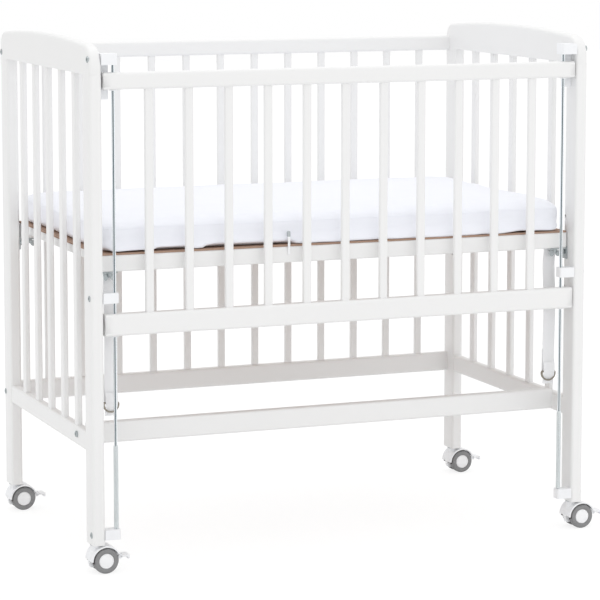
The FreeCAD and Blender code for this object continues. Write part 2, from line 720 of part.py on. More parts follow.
def bracket(side, name, foot, height, extra=()):
    """One rod bracket, bored for the rod and for its bolt."""
    reach_back = housing_depth + housing_gap if extra else 0
    solid = joined(f"{side}_{name}_solid", [arm(side, name, foot, height, reach_back), *extra])
    low = rod_bottom if name == "bottom" else foot - 1
    high = rod_top - foot + 1 if name == "top" else height + 2
    bore = part_rod(f"{side}_{name}_rod_bore", rod_radius, high,
                    (rod_x[side], side_mid, low))
    start = left_inner - 1 if side == "left" else right_inner - screw_grip
    screw = part_rod(f"{side}_{name}_screw_bore", screw_radius, screw_grip + 1,
                     (start, bracket_bolt_y, foot + height * half), "X")
    return cut(f"{side}_{name}_bracket", solid, joined(f"{side}_{name}_bores", [bore, screw]))


screw_grip = rod_inset - rod_radius - bolt_clear
bracket_rows = {
    "top": (top_arm_bottom, top_arm_height),
    "middle": (middle_arm_bottom, arm_height),
    "bottom": (low_arm_bottom, arm_height),
}
for name, (foot, height) in bracket_rows.items():
    pair = []
    for side in SIDES:
        extra = [housing(side)] if name == "top" else []
        pair.append(bracket(side, name, foot, height, extra))
    keep(joined(f"{name}_rod_brackets", pair))


# ---------------------------------------------------------------- buffer springs
def arc_edge(start, corner, finish):
    """The arc that touches start-corner and corner-finish, two tangents of one length."""
    chord_mid = (start + finish) * half
    reach = (finish - start).Length / 2
    towards = corner - chord_mid
    if towards.Length < 1e-9:
        return Part.LineSegment(start, finish).toShape()
    lean = math.acos(min(1.0, reach / (corner - start).Length))
    top = chord_mid + towards.normalize() * (reach * math.tan(lean / 2))
    return Part.Arc(start, top, finish).toShape()


def biarc(start, heading, finish, heading_out):
    """Two arcs from start to finish that keep both headings."""
    step = finish - start
    bend = 2 * (1 - heading.dot(heading_out))
    both = step.dot(heading + heading_out)
    reach = (-both + math.sqrt(both * both + bend * step.dot(step))) / bend
    first = start + heading * reach
    second = finish - heading_out * reach
    middle = (first + second) * half
    return [arc_edge(start, first, middle), arc_edge(middle, second, finish)]


def spring(side):
    """A compression spring round the rod: a helix of biarcs, one for each quarter turn."""
    wire = spring_wire.value
    radius = rod_radius.value + spring_play.value + wire / 2
    turns = int(spring_turns.value)
    foot = wire / 2
    rise = (spring_height.value - wire) / turns
    quarters = 4 * turns

    def at(quarter):
        angle = quarter * math.pi / 2
        place_on = V(radius * math.cos(angle), radius * math.sin(angle), 0)
        place_on.z = foot + rise * quarter / 4
        heading = V(-radius * math.sin(angle), radius * math.cos(angle), rise / (2 * math.pi))
        return place_on, heading.normalize()

    first, lead_in = at(0)
    last, lead_out = at(quarters)
    edges = [Part.LineSegment(first - lead_in * wire, first).toShape()]
    for quarter in range(quarters):
        start, heading = at(quarter)
        finish, heading_out = at(quarter + 1)
        edges += biarc(start, heading, finish, heading_out)
    edges.append(Part.LineSegment(last, last + lead_out * wire).toShape())
    path = Part.Wire(edges)
    section = Part.Circle(first - lead_in * wire, lead_in, wire / 2).toShape()
    item = doc.addObject("Part::Feature", f"{side}_buffer_spring")
    item.Shape = path.makePipeShell([Part.Wire(section)], True, False)
    place(item, rod_x[side], side_mid, low_arm_bottom + arm_height + seat_gap)
    print(f"{item.Label}: {turns} turns, least gap to itself {rise - wire:.2f} mm,",
          f"volume {item.Shape.Volume:.0f}, section times length",
          f"{math.pi * wire * wire / 4 * path.Length:.0f}")
    return item


for side in SIDES:
    keep(spring(side))


# ---------------------------------------------------------------- base
wing_x = {"left": left_inner + wing_place, "right": right_inner - wing_place}
wing_bores = [(wing_x[side] - base_left, base_thick * half, screw_radius + bolt_fit)
              for side in SIDES]
for name, start in (("front", base_front), ("back", base_back - base_thick)):
    keep(board(f"base_{name}_rail", (base_length, base_thick, base_rail_height),
               (base_left, start, base_bottom), "X", rail_round * half, wing_bores))
base_side_length = base_back - base_front - 2 * base_thick
short_rails = []
for side in SIDES:
    start = base_left if side == "left" else base_left + base_length - base_thick
    short_rails.append(part_box(f"{side}_base_rail",
                                (base_thick, base_side_length, base_side_height),
                                (start, base_front + base_thick,
                                 board_bottom - base_side_height)))
keep(joined("base_side_rails", short_rails))
board_sheet = part_box("base_board", (base_length, base_back - base_front, board_thick),
                       (base_left, base_front, board_bottom))
keep(joined("base_board", [board_sheet]))


def base_bracket(side, end):
    """A steel angle: one leaf screwed to the post, one under the long rail's end."""
    inner = left_inner if side == "left" else right_inner
    y = base_front if end == "front" else base_back - base_thick
    reach = bracket_leaf + bracket_steel
    upright_x = inner if side == "left" else inner - bracket_steel
    leaf_x = inner if side == "left" else inner - reach
    foot = base_bottom - bracket_steel - bracket_drop
    upright = part_box(f"{side}_{end}_upright",
                       (bracket_steel, base_thick, bracket_drop + 2 * bracket_steel),
                       (upright_x, y, foot))
    leaf = part_box(f"{side}_{end}_leaf", (reach, base_thick, bracket_steel),
                    (leaf_x, y, base_bottom - bracket_steel))
    solid = joined(f"{side}_{end}_angle", [upright, leaf])
    post_bore = part_rod(f"{side}_{end}_post_bore", screw_radius + bolt_fit,
                         3 * bracket_steel,
                         (upright_x - bracket_steel, post_screw_y[end], used_hole), "X")
    wing_bore = part_rod(f"{side}_{end}_wing_bore", screw_radius + bolt_fit,
                         3 * bracket_steel,
                         (wing_x[side], y + base_thick * half, base_bottom - 2 * bracket_steel))
    return cut(f"{side}_{end}_bracket", solid,
               joined(f"{side}_{end}_bracket_bores", [post_bore, wing_bore]))


def wing_bolt(side, end):
    """A wing bolt up through the bracket into the rail: shank, round neck and two wings."""
    y = (base_front if end == "front" else base_back - base_thick) + base_thick * half
    seat = base_bottom - bracket_steel
    shank = part_rod(f"{side}_{end}_wing_shank", screw_radius, wing_shank + wing_neck,
                     (wing_x[side], y, seat - wing_neck))
    neck = part_rod(f"{side}_{end}_wing_neck", wing_neck_radius, wing_neck,
                    (wing_x[side], y, seat - wing_neck))
    wings = part_box(f"{side}_{end}_wings", (wing_span, wing_thick, wing_height),
                     (wing_x[side] - wing_span * half, y - wing_thick * half,
                      seat - wing_neck * half - wing_height))
    return joined(f"{side}_{end}_wing_bolt", [shank, neck, wings])


def post_screw(side, end):
    """The screw that holds a bracket's upright leaf in one of the post's holes."""
    head_height = post_screw_head * half
    if side == "left":
        shank_x = left_inner - post_screw_length
        head_x = left_inner + bracket_steel
    else:
        shank_x = right_inner - bracket_steel
        head_x = shank_x - head_height
    shank = part_rod(f"{side}_{end}_screw_shank", screw_radius,
                     post_screw_length + bracket_steel,
                     (shank_x, post_screw_y[end], used_hole), "X")
    head = part_rod(f"{side}_{end}_screw_head", post_screw_head, head_height,
                    (head_x, post_screw_y[end], used_hole), "X")
    return joined(f"{side}_{end}_post_screw", [shank, head])


post_screw_y = {"front": front_face + hole_inset, "back": back_face - hole_inset}
CORNERS = [(side, end) for side in SIDES for end in ("front", "back")]
keep(joined("base_corner_brackets", [base_bracket(*corner) for corner in CORNERS]))
keep(joined("base_wing_bolts", [wing_bolt(*corner) for corner in CORNERS]))
keep(joined("base_post_screws", [post_screw(*corner) for corner in CORNERS]))


# ---------------------------------------------------------------- mattress
def cushion_ring(inset, level):
    """One level of the mattress: rounded corners, and sides drawn in between them."""
    long_way = mattress_length.value - 2 * inset
    short_way = mattress_depth.value - 2 * inset
    corner = mattress_corner.value
    slope = corner * (1 - math.sqrt(half))
    edges = []
    marks = [(0, 0, 0), (long_way, 0, 1), (long_way, short_way, 2), (0, short_way, 3)]
    for x, y, quarter in marks:
        inward = (V(1, 1, 0), V(-1, 1, 0), V(-1, -1, 0), V(1, -1, 0))[quarter]
        start = V(x, y + inward.y * corner, 0)
        finish = V(x + inward.x * corner, y, 0)
        if quarter % 2:
            start, finish = finish, start
        middle = V(x, y, 0) + inward * slope
        edges.append((start, middle, finish))
    wire = []
    for k, (start, middle, finish) in enumerate(edges):
        after = edges[(k + 1) % 4][0]
        wire.append(Part.Arc(start, middle, finish).toShape())
        inward = (V(0, 1, 0), V(-1, 0, 0), V(0, -1, 0), V(1, 0, 0))[k]
        pulled = (finish + after) * half + inward * mattress_draw.value
        wire.append(Part.Arc(finish, pulled, after).toShape())
    ring = Part.Wire(wire)
    ring.translate(V(inset, inset, level))
    return ring


def mattress():
    """Loft of level rings: a flat underside, full rounded sides and a crowned top."""
    height = mattress_height.value
    crown_rise = mattress_crown.value
    edge = mattress_edge.value
    levels = []
    for step in range(6):
        angle = math.pi / 2 * step / 5
        levels.append((edge * (1 - math.sin(angle)), edge * (1 - math.cos(angle))))
    for step in range(6):
        angle = math.pi / 2 * step / 5
        levels.append((edge * (1 - math.cos(angle)), height - edge * (1 - math.sin(angle))))
    for step in range(1, 6):
        inward = step / 5
        rise = crown_rise * math.sin(inward * math.pi / 2)
        levels.append((edge + crown_reach.value * inward, height + rise))
    item = doc.addObject("Part::Feature", "mattress")
    item.Shape = Part.makeLoft([cushion_ring(*level) for level in levels], True, True)
    place(item, middle_x - mattress_length * half, front_face + mattress_setback,
          mattress_bottom)
    return item


keep(mattress())
pull_front = front_face + mattress_setback - slider_depth - slider_gap
slider_foot = mattress_bottom + slider_rise
tape_foot = slider_foot + slider_height - pull_length
pull_block = part_box("zip_slider", (pull_width, slider_depth, slider_height),
                      (left_face + pull_place, pull_front, slider_foot))
pull_tape = part_box("zip_tape",
                     (pull_width - tape_thick, tape_thick, slider_foot + past - tape_foot),
                     (left_face + pull_place + tape_thick * half, pull_front, tape_foot))
keep(joined("mattress_zip_pull", [pull_block, pull_tape]))


# ---------------------------------------------------------------- tie straps
def strap(side):
    """A doubled webbing strap that hangs in soft folds from the back of the base's rail."""
    wave, thick, drop = strap_wave.value, strap_thick.value, strap_length.value
    folds = ((0.0, 0.0), (0.18, 1.0), (0.36, 0.2), (0.55, -0.8), (0.74, 0.1), (0.88, 0.7),
             (1.0, 0.0))

    def edge_of(shift):
        marks = [V(0, wave * side_step + shift, -drop * way) for way, side_step in folds]
        return [Part.Arc(*marks[k:k + 3]).toShape() for k in (0, 2, 4)], marks

    near, near_marks = edge_of(-thick / 2)
    far, far_marks = edge_of(thick / 2)
    caps = [Part.LineSegment(near_marks[-1], far_marks[-1]).toShape(),
            Part.LineSegment(far_marks[0], near_marks[0]).toShape()]
    outline = Part.Wire(Part.__sortEdges__(near + far + caps))
    item = doc.addObject("Part::Feature", f"{side}_strap")
    item.Shape = Part.Face(outline).extrude(V(strap_width.value, 0, 0))
    start = left_inner + strap_inset if side == "left" else strap_right
    place(item, start, strap_y, base_bottom + strap_lap)
    return item


def ring_shape():
    """A D-shaped ring of round wire, its straight bar along X at the top."""
    wire, width, corner = ring_wire.value, ring_width.value, ring_corner.value
    radius = (width + wire) / 2
    flat = radius - corner
    bend = corner * (1 - math.sqrt(half))
    dip = radius * math.sqrt(half)
    low = V(0, 0, -corner)
    marks = [V(-flat, 0, 0), V(flat, 0, 0), V(radius, 0, -corner), V(0, 0, -corner - radius),
             V(-radius, 0, -corner)]
    edges = [Part.LineSegment(marks[0], marks[1]),
             Part.Arc(marks[1], V(radius - bend, 0, -bend), marks[2]),
             Part.Arc(marks[2], low + V(dip, 0, -dip), marks[3]),
             Part.Arc(marks[3], low + V(-dip, 0, -dip), marks[4]),
             Part.Arc(marks[4], V(-radius + bend, 0, -bend), marks[0])]
    path = Part.Wire([edge.toShape() for edge in edges])
    section = Part.Circle(marks[0], V(1, 0, 0), wire / 2).toShape()
    return path.makePipeShell([Part.Wire(section)], True, False)


strap_y = base_front + base_thick + strap_thick * half + seat_gap
strap_right = right_inner - strap_inset - strap_width
ring_drop = base_bottom + strap_lap - strap_length
rings = []
for side in SIDES:
    start = left_inner + strap_inset if side == "left" else strap_right
    for name, step in (("front", -1), ("rear", 1)):
        item = doc.addObject("Part::Feature", f"{side}_{name}_ring")
        item.Shape = ring_shape()
        place(item, start + strap_width * half, strap_y + step * (ring_wire + ring_gap) * half,
              ring_drop - ring_wire * half - seat_gap)
        rings.append(item)
for side in SIDES:
    keep(strap(side))
keep(joined("strap_rings", rings))


# ---------------------------------------------------------------- bolts and nuts
def bolt(side, name, y, z, grip, sunk):
    """A socket-head bolt, seated a little below the end frame's outer face or on it."""
    if side == "left":
        head_x = left_face - bolt_proud
        shank_x = left_face + sunk - lap
        socket_x = head_x
    else:
        head_x = right_face - sunk
        shank_x = right_face - sunk - grip
        socket_x = right_face + bolt_proud * half
    head = part_rod(f"{side}_{name}_head", bolt_head, bolt_proud + sunk, (head_x, y, z), "X")
    shank = part_rod(f"{side}_{name}_shank", screw_radius, grip + lap, (shank_x, y, z), "X")
    solid = joined(f"{side}_{name}_bolt_solid", [head, shank])
    socket = part_rod(f"{side}_{name}_socket", socket_radius, bolt_proud * half,
                      (socket_x, y, z), "X")
    return cut(f"{side}_{name}_bolt", solid, socket)


bolts = []
nuts = []
on_face = Size.of(0)
bracket_grip = post_width + screw_grip - past
bolt_list = [("bracket_low", *bolt_places["front"][0], bracket_grip, on_face),
             ("bracket_middle", *bolt_places["front"][1], bracket_grip, on_face),
             ("bracket_top", *bolt_places["crown"][0], bracket_grip, on_face),
             ("back_low", back_mid, back_bolt_low, bolt_grip, on_face),
             ("back_top", back_mid, back_bolt_top, bolt_grip, on_face),
             ("front_rail", *front_bolt, bolt_grip - end_rail_inset, end_rail_inset)]
for side in SIDES:
    for row in bolt_list:
        bolts.append(bolt(side, *row))
keep(joined("frame_bolts", bolts))


def barrel_nut(side, name, start_x, y, z, thick):
    """A barrel nut across a rail, with the bolt's hole through it."""
    barrel = part_rod(f"{side}_{name}_barrel", nut_radius, thick - 2,
                      (start_x, y - thick * half + 1, z), "Y")
    hole = part_rod(f"{side}_{name}_thread", screw_radius, 4 * nut_radius,
                    (start_x - 2 * nut_radius, y, z), "X")
    return cut(f"{side}_{name}_nut", barrel, hole)


nut_reach = bolt_grip - post_width - nut_inset
nut_list = [("back_low", left_inner, back_mid, back_bolt_low, back_thick),
            ("back_top", left_inner, back_mid, back_bolt_top, back_thick),
            ("front_rail", left_face + end_rail_inset + end_rail_thick, *front_bolt,
             front_rail_thick)]
for name, start, y, z, thick in nut_list:
    mirror = left_face + right_face - start
    nuts.append(barrel_nut("left", name, start + nut_reach, y, z, thick))
    nuts.append(barrel_nut("right", name, mirror - nut_reach, y, z, thick))
keep(joined("barrel_nuts", nuts))

# ---------------------------------------------------------------- casters
stem_foot = wheel_radius + stem_rise
hood_inside = wheel_radius + hood_gap
hood_outside = hood_inside + hood_wall
collar_bottom = post_bottom - plate_thick
caster_width = 2 * wheel_width + wheel_gap
hood_low = wheel_radius
hood_open = wheel_radius + hood_rise
web_low = wheel_radius - web_drop
pivot_reach = hood_outside + 1
pivot_height = wheel_radius + pivot_rise


def hood(name, x, y):
    """The caster's fork: a middle web, a shell over both wheels, a boss and a pedal lug."""
    axle = x + caster_trail
    middle = y - web_thick * half
    under = wheel_radius - hood_outside - 1
    drum = part_rod(f"{name}_drum", hood_outside, caster_width,
                    (axle, y - caster_width * half, wheel_radius), "Y")
    boss = part_rod(f"{name}_boss", boss_radius, collar_bottom - seat_gap - wheel_radius,
                    (x, y, wheel_radius))
    wells = []
    well_length = (caster_width - web_thick) * half + 1
    for end, start in (("front", y - caster_width * half - 1), ("rear", y + web_thick * half)):
        wells.append(part_rod(f"{name}_{end}_well", hood_inside, well_length,
                              (axle, start, wheel_radius), "Y"))
        wells.append(part_box(f"{name}_{end}_trim_low",
                              (hood_outside + 1, well_length, hood_low - under),
                              (axle - hood_outside - 1, start, under)))
        wells.append(part_box(f"{name}_{end}_trim_pedal",
                              (hood_outside + 1, well_length, hood_open - under),
                              (axle, start, under)))
    wells.append(part_box(f"{name}_trim_web", (3 * hood_outside, web_thick + 2, web_low - under),
                          (axle - 1.5 * hood_outside, middle - 1, under)))
    wells.append(part_rod(f"{name}_stem_bore", stem_radius + turn_fit, collar_bottom - stem_foot
                          + 1, (x, y, stem_foot - seat_gap)))
    wells.append(part_rod(f"{name}_axle_bore", axle_radius, web_thick + 2,
                          (axle, middle - 1, wheel_radius), "Y"))
    shell = cut(f"{name}_shell", joined(f"{name}_blank", [drum, boss]),
                joined(f"{name}_wells", wells))
    lug = part_rod(f"{name}_lug", knuckle_radius, web_thick,
                   (axle + pivot_reach, middle, pivot_height), "Y")
    pin = part_rod(f"{name}_pin", pedal_pin, pedal_width - 4,
                   (axle + pivot_reach, y - pedal_width * half + 2, pivot_height), "Y")
    return joined(f"{name}_hood", [shell, lug, pin])


def wheel(name, end, x, y):
    """One wheel's core and tyre, from its inner face outwards; the core's bore is blind."""
    axle = x + caster_trail
    inner = y + wheel_gap * half if end == "rear" else y - wheel_gap * half - wheel_width
    core = part_rod(f"{name}_{end}_core", cap_radius, wheel_width, (axle, inner, wheel_radius),
                    "Y")
    bore_start = inner - 1 if end == "rear" else inner + cap_thick
    bore = part_rod(f"{name}_{end}_bore", axle_radius + turn_fit, wheel_width - cap_thick + 1,
                    (axle, bore_start, wheel_radius), "Y")
    body = new_body(f"{name}_{end}_tyre")
    section = new_sketch(body, "XY_Plane", f"{name}_{end}_tyre_section")
    near, far = tyre_slope, wheel_width - tyre_slope
    polygon(section, [(0, cap_radius), (0, wheel_radius - tyre_slope),
                      (shoulder, wheel_radius - shoulder), (near, wheel_radius),
                      (far, wheel_radius), (wheel_width - shoulder, wheel_radius - shoulder),
                      (wheel_width, wheel_radius - tyre_slope), (wheel_width, cap_radius)])
    turned(body, section)
    body.Placement.Rotation = FreeCAD.Rotation(V(0, 0, 1), 90)
    place(body, axle, inner, wheel_radius)
    return cut(f"{name}_{end}_wheel_core", core, bore), body


def pedal(name, x, y):
    """The brake pedal: a plate with a turned-down lip and two cheeks on the hood's pin."""
    pivot = x + caster_trail + pivot_reach
    reach = pedal_reach - caster_trail - pivot_reach
    start = y - pedal_width * half
    top = pivot_height + knuckle_radius * half
    knuckle = part_rod(f"{name}_knuckle", knuckle_radius, pedal_width - 2 * past,
                       (pivot, start + past, pivot_height), "Y")
    plate = part_box(f"{name}_plate", (reach, pedal_width, pedal_thick),
                     (pivot, start, top - pedal_thick))
    lip = part_box(f"{name}_lip", (pedal_thick, pedal_width, pedal_lip),
                   (pivot + reach - pedal_thick, start, top - pedal_lip))
    slot = part_box(f"{name}_slot",
                    (2 * (knuckle_radius + past), web_thick + 2 * pedal_side, pedal_slot),
                    (pivot - knuckle_radius - past, y - web_thick * half - pedal_side,
                     pivot_height - pedal_slot * half))
    bore = part_rod(f"{name}_pin_bore", pedal_pin + turn_fit, pedal_width + 2,
                    (pivot, start - 1, pivot_height), "Y")
    solid = joined(f"{name}_pedal_solid", [knuckle, plate, lip])
    return cut(f"{name}_pedal", solid, joined(f"{name}_pedal_cuts", [slot, bore]))


def stem(name, x, y):
    """A caster's stem in its post, with the collar that carries the post."""
    rod = part_rod(f"{name}_rod", stem_radius,
                   post_bottom + stem_inside - stem_short - stem_foot, (x, y, stem_foot))
    collar = part_rod(f"{name}_collar", plate_radius, plate_thick, (x, y, collar_bottom))
    return joined(f"{name}_stem", [rod, collar])


stems = []
for side in SIDES:
    for end in ("front", "back"):
        name = f"{side}_{end}"
        x = post_x[side] + post_width * half
        y = post_y[end] + post_depth * half
        stems.append(stem(name, x, y))
        keep(hood(name, x, y))
        axle_length = caster_width - 2 * cap_thick - 1
        keep(part_rod(f"{name}_axle", axle_radius, axle_length,
                      (x + caster_trail, y - axle_length * half, wheel_radius), "Y"))
        front_core, front_tyre = wheel(name, "front", x, y)
        rear_core, rear_tyre = wheel(name, "rear", x, y)
        keep(joined(f"{name}_wheel_cores", [front_core, rear_core]))
        keep(joined(f"{name}_tyres", [front_tyre, rear_tyre]))
        keep(pedal(name, x, y))
keep(joined("caster_stems", stems))

# ---------------------------------------------------------------- checks and export
doc.recompute()
faults = [item.Name for item in doc.Objects if {"Invalid", "Error"} & set(item.State)]
for item in nodes:
    if item.Shape.isNull() or not item.Shape.isValid() or not item.Shape.Solids:
        faults.append(item.Label)
if faults:
    raise RuntimeError(f"not sound: {sorted(set(faults))}")
os.makedirs("parts", exist_ok=True)
for item in nodes:
    box = item.Shape.BoundBox
    item.Shape.exportStep(f"parts/{item.Label}.step")
    print(f"{item.Label}: {len(item.Shape.Solids)} solids,",
          f"X {box.XMin:.1f}..{box.XMax:.1f} Y {box.YMin:.1f}..{box.YMax:.1f}",
          f"Z {box.ZMin:.1f}..{box.ZMax:.1f}")
print(f"{len(nodes)} sub-parts")
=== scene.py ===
"""A bedside sleeper crib: white lacquered wood, steel guide rods, a covered mattress, webbing
tie straps and braked twin-wheel casters, finished over the construction's own frame."""

import json
import math

import bmesh
import bpy
from mathutils import Matrix, Vector, noise

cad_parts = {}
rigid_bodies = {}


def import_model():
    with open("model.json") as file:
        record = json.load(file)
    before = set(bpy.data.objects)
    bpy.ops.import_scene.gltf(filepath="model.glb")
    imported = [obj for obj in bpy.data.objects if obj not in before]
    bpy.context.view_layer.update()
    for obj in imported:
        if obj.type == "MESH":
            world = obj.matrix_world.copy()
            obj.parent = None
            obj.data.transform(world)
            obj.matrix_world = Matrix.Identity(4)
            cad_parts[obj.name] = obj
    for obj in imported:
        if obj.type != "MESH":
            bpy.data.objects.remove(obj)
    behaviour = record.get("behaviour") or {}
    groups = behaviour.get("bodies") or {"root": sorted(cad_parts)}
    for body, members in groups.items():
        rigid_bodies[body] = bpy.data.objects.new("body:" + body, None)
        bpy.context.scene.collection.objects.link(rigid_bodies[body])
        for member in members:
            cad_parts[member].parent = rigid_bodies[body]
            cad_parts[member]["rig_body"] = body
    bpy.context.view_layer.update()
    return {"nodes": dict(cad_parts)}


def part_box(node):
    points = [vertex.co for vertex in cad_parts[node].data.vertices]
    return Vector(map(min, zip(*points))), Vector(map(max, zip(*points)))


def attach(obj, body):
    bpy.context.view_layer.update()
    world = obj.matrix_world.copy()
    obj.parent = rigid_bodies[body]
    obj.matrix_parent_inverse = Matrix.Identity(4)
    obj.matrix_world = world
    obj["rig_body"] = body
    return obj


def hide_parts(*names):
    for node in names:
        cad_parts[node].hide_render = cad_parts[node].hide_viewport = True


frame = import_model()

bl_info = {
    "name": "Bedside Sleeper Crib",
    "version": (1, 0, 0),
    "blender": (4, 5, 0),
    "location": "View3D > Sidebar > Crib",
    "description": "Finishes the crib's wood, hardware, mattress, straps and casters",
    "category": "Add Mesh",
}

MM = 0.001
SIDES = ("left", "right")
ENDS = ("front", "back")
CORNERS = [(side, end) for side in SIDES for end in ENDS]
MERGE = 0.002 * MM
FINE_MERGE = 0.0005 * MM
HEAD_PROUD = 1.5 * MM


# ---------------------------------------------------------------- what a user would change
def colour_value(name, description, default):
    return bpy.props.FloatVectorProperty(name=name, description=description, subtype="COLOR",
                                         size=3, min=0, max=1, default=default)


def length_value(name, description, default, least):
    return bpy.props.FloatProperty(name=name, description=description, unit="LENGTH",
                                   default=default, min=least)


class CribColours(bpy.types.PropertyGroup):
    """Colours of the crib's finishes."""

    lacquer: colour_value(
        "Lacquer", "White lacquer on all the wood", (0.862, 0.862, 0.86))
    moulding: colour_value(
        "Moulding", "White plastic of the brackets, hoods and pedals", (0.91, 0.92, 0.94))
    tread: colour_value(
        "Tread", "Rubber of the caster wheels", (0.25, 0.25, 0.255))
    cotton: colour_value(
        "Cotton", "Cover of the mattress", (0.912, 0.925, 0.98))
    webbing: colour_value(
        "Webbing", "Tie straps", (0.96, 0.965, 0.98))
    board: colour_value(
        "Board", "Bare fibreboard under the mattress", (0.32, 0.21, 0.155))
    cap: colour_value(
        "Cap", "White plastic of the wheels' hub caps", (0.94, 0.945, 0.96))
    spring: colour_value(
        "Spring", "Bright plated wire of the buffer springs", (0.92, 0.97, 0.98))
    # painted reflection: Rod is dark for the dark room mirrored on the rods' faces towards the
    # view, and the colour after it is the pale room mirrored on their sides
    rod: colour_value(
        "Rod", "Polished steel of the guide rods", (0.13, 0.165, 0.185))
    rod_rim: colour_value(
        "Rod Painted Reflection", "What the rods' sides mirror of the pale room", (0.86, 0.9, 0.92))
    zinc: colour_value(
        "Zinc", "Plated bolts, screws and corner brackets", (0.5, 0.54, 0.55))
    ring: colour_value(
        "Ring", "Strap rings", (0.34, 0.31, 0.26))
    # painted shade: a near-black colour laid in the gap between each caster's hood and its
    # wheels, where the real hood is only in shadow
    recess: colour_value(
        "Painted Gap Shade", "Dark edge between a caster's hood and its wheels", (0.05, 0.042, 0.04))
    floor: colour_value(
        "Floor", "Floor under the crib", (0.9, 0.9, 0.9))


class CribSizes(bpy.types.PropertyGroup):
    """Sizes of the details that the finish adds."""

    slat_rounding: length_value(
        "Slat Rounding", "Rounding of a slat's upright edges", 2.6 * MM, 0.1 * MM)
    moulded_edge: length_value(
        "Moulded Edge", "Rounding of the plastic mouldings' edges", 0.9 * MM, 0.1 * MM)
    steel_edge: length_value(
        "Steel Edge", "Rounding of the pressed steel's edges", 0.35 * MM, 0.05 * MM)
    cover_voxel: length_value(
        "Cover Voxel", "Size of the mattress cover's cells", 7 * MM, 3 * MM)
    cover_swell: length_value(
        "Cover Swell", "Most that the cover may move as it fills", 6 * MM, 0)
    piping: length_value(
        "Piping", "Radius of the seam along the mattress's edges", 0.6 * MM, 0.3 * MM)
    strap_wall: length_value(
        "Strap Wall", "Thickness of one layer of webbing", 1.2 * MM, 0.3 * MM)
    stitch: length_value(
        "Stitch", "Length of one stitch", 2.2 * MM, 0.5 * MM)
    bolt_head: length_value(
        "Bolt Head", "Radius of a frame bolt's head", 5.5 * MM, 1 * MM)


# ---------------------------------------------------------------- node expressions
class Wire:
    """A node's output, so that sums on it add Math nodes to its tree."""

    def __init__(self, graph, socket):
        self.graph = graph
        self.socket = socket

    def maths(self, operation, *values):
        return self.graph.node("ShaderNodeMath", {"operation": operation}, *values)

    def __add__(self, other):
        return self.maths("ADD", self, other)

    def __radd__(self, other):
        return self.maths("ADD", other, self)

    def __sub__(self, other):
        return self.maths("SUBTRACT", self, other)

    def __mul__(self, other):
        return self.maths("MULTIPLY", self, other)

    def sine(self):
        return self.maths("SINE", self)

    def clamped(self):
        return self.maths("MAXIMUM", self.maths("MINIMUM", self, 1.0), 0.0)


class Graph:
    """A node tree, and one method that adds any node to it."""

    def __init__(self, tree):
        self.tree = tree

    def node(self, kind, settings, *values, out=0, **named):
        """Add a node: its settings first, then its inputs in order or by name."""
        made = self.tree.nodes.new(kind)
        for name, value in settings.items():
            setattr(made, name, value)
        pairs = [(made.inputs[k], value) for k, value in enumerate(values)]
        pairs += [(made.inputs[name.replace("_", " ")], value) for name, value in named.items()]
        for socket, value in pairs:
            self.feed(socket, value)
        return Wire(self, made.outputs[out]) if made.outputs else made

    def feed(self, socket, value):
        if isinstance(value, Wire):
            self.tree.links.new(value.socket, socket)
        elif value is not None:
            socket.default_value = value


# ---------------------------------------------------------------- finishes
class Finish(Graph):
    """A material: one Principled shader whose constants sit on its own sockets."""

    def __init__(self, name, colour, **constants):
        self.material = bpy.data.materials.new(name)
        self.material.use_nodes = True
        super().__init__(self.material.node_tree)
        self.shader = self.tree.nodes["Principled BSDF"]
        self.colour = (*colour, 1.0)
        self.shader.inputs["Base Color"].default_value = self.colour
        for label, value in constants.items():
            self.shader.inputs[label.replace("_", " ")].default_value = value

    def place(self, stretch=(1, 1, 1)):
        """Object coordinates, stretched along the grain."""
        where = self.node("ShaderNodeTexCoord", {}, out=3)
        return self.node("ShaderNodeMapping", {}, Vector=where, Scale=stretch)

    def speckle(self, scale, detail=3.0, stretch=(1, 1, 1)):
        return self.node("ShaderNodeTexNoise", {"noise_dimensions": "3D"},
                         Vector=self.place(stretch), Scale=scale, Detail=detail)

    def axes(self):
        split = self.tree.nodes.new("ShaderNodeSeparateXYZ")
        self.feed(split.inputs[0], self.place())
        return [Wire(self, socket) for socket in split.outputs]

    def tint(self, factor, other):
        """Base colour between the finish's own and another, by a factor."""
        mixed = self.tree.nodes.new("ShaderNodeMix")
        mixed.data_type = "RGBA"
        self.feed(mixed.inputs[0], factor)
        mixed.inputs[6].default_value = self.colour
        mixed.inputs[7].default_value = (*other, 1.0)
        self.tree.links.new(mixed.outputs[2], self.shader.inputs["Base Color"])

    def roughen(self, value):
        self.feed(self.shader.inputs["Roughness"], value)

    def bump(self, height, distance, strength=1.0):
        raised = self.node("ShaderNodeBump", {}, Height=height, Distance=distance,
                           Strength=strength)
        self.tree.links.new(raised.socket, self.shader.inputs["Normal"])


def darker(colour, share):
    return tuple(channel * share for channel in colour)


def lacquered(name, grain):
    """White lacquer over straight-grained wood, faintly telegraphing the grain."""
    colour = bpy.context.scene.crib_colours.lacquer
    finish = Finish(name, colour, Coat_Roughness=0.3, Coat_Weight=0.12)
    stretch = tuple(0.06 if axis == grain else 1.0 for axis in "XYZ")
    grain_lines = finish.speckle(420.0, 4.0, stretch)
    cloud = finish.speckle(9.0, 2.0)
    peel = finish.speckle(900.0, 1.0)
    finish.tint((cloud * 0.7 + grain_lines * 0.3 - 0.3).clamped() * 0.3, darker(colour, 0.95))
    finish.roughen(0.42 + cloud * 0.1 + grain_lines * 0.04)
    finish.bump(grain_lines * 0.45 + peel * 0.55, 0.00005, 0.35)
    return finish.material


def moulded(name, colour, roughness=0.34):
    """Injection-moulded plastic with a fine spark-eroded skin."""
    finish = Finish(name, colour, IOR=1.5)
    skin = finish.speckle(1500.0, 2.0)
    flow = finish.speckle(28.0, 2.0)
    finish.tint(flow * 0.3, darker(colour, 0.94))
    finish.roughen(roughness + flow * 0.1)
    finish.bump(skin, 0.00006, 0.5)
    return finish.material


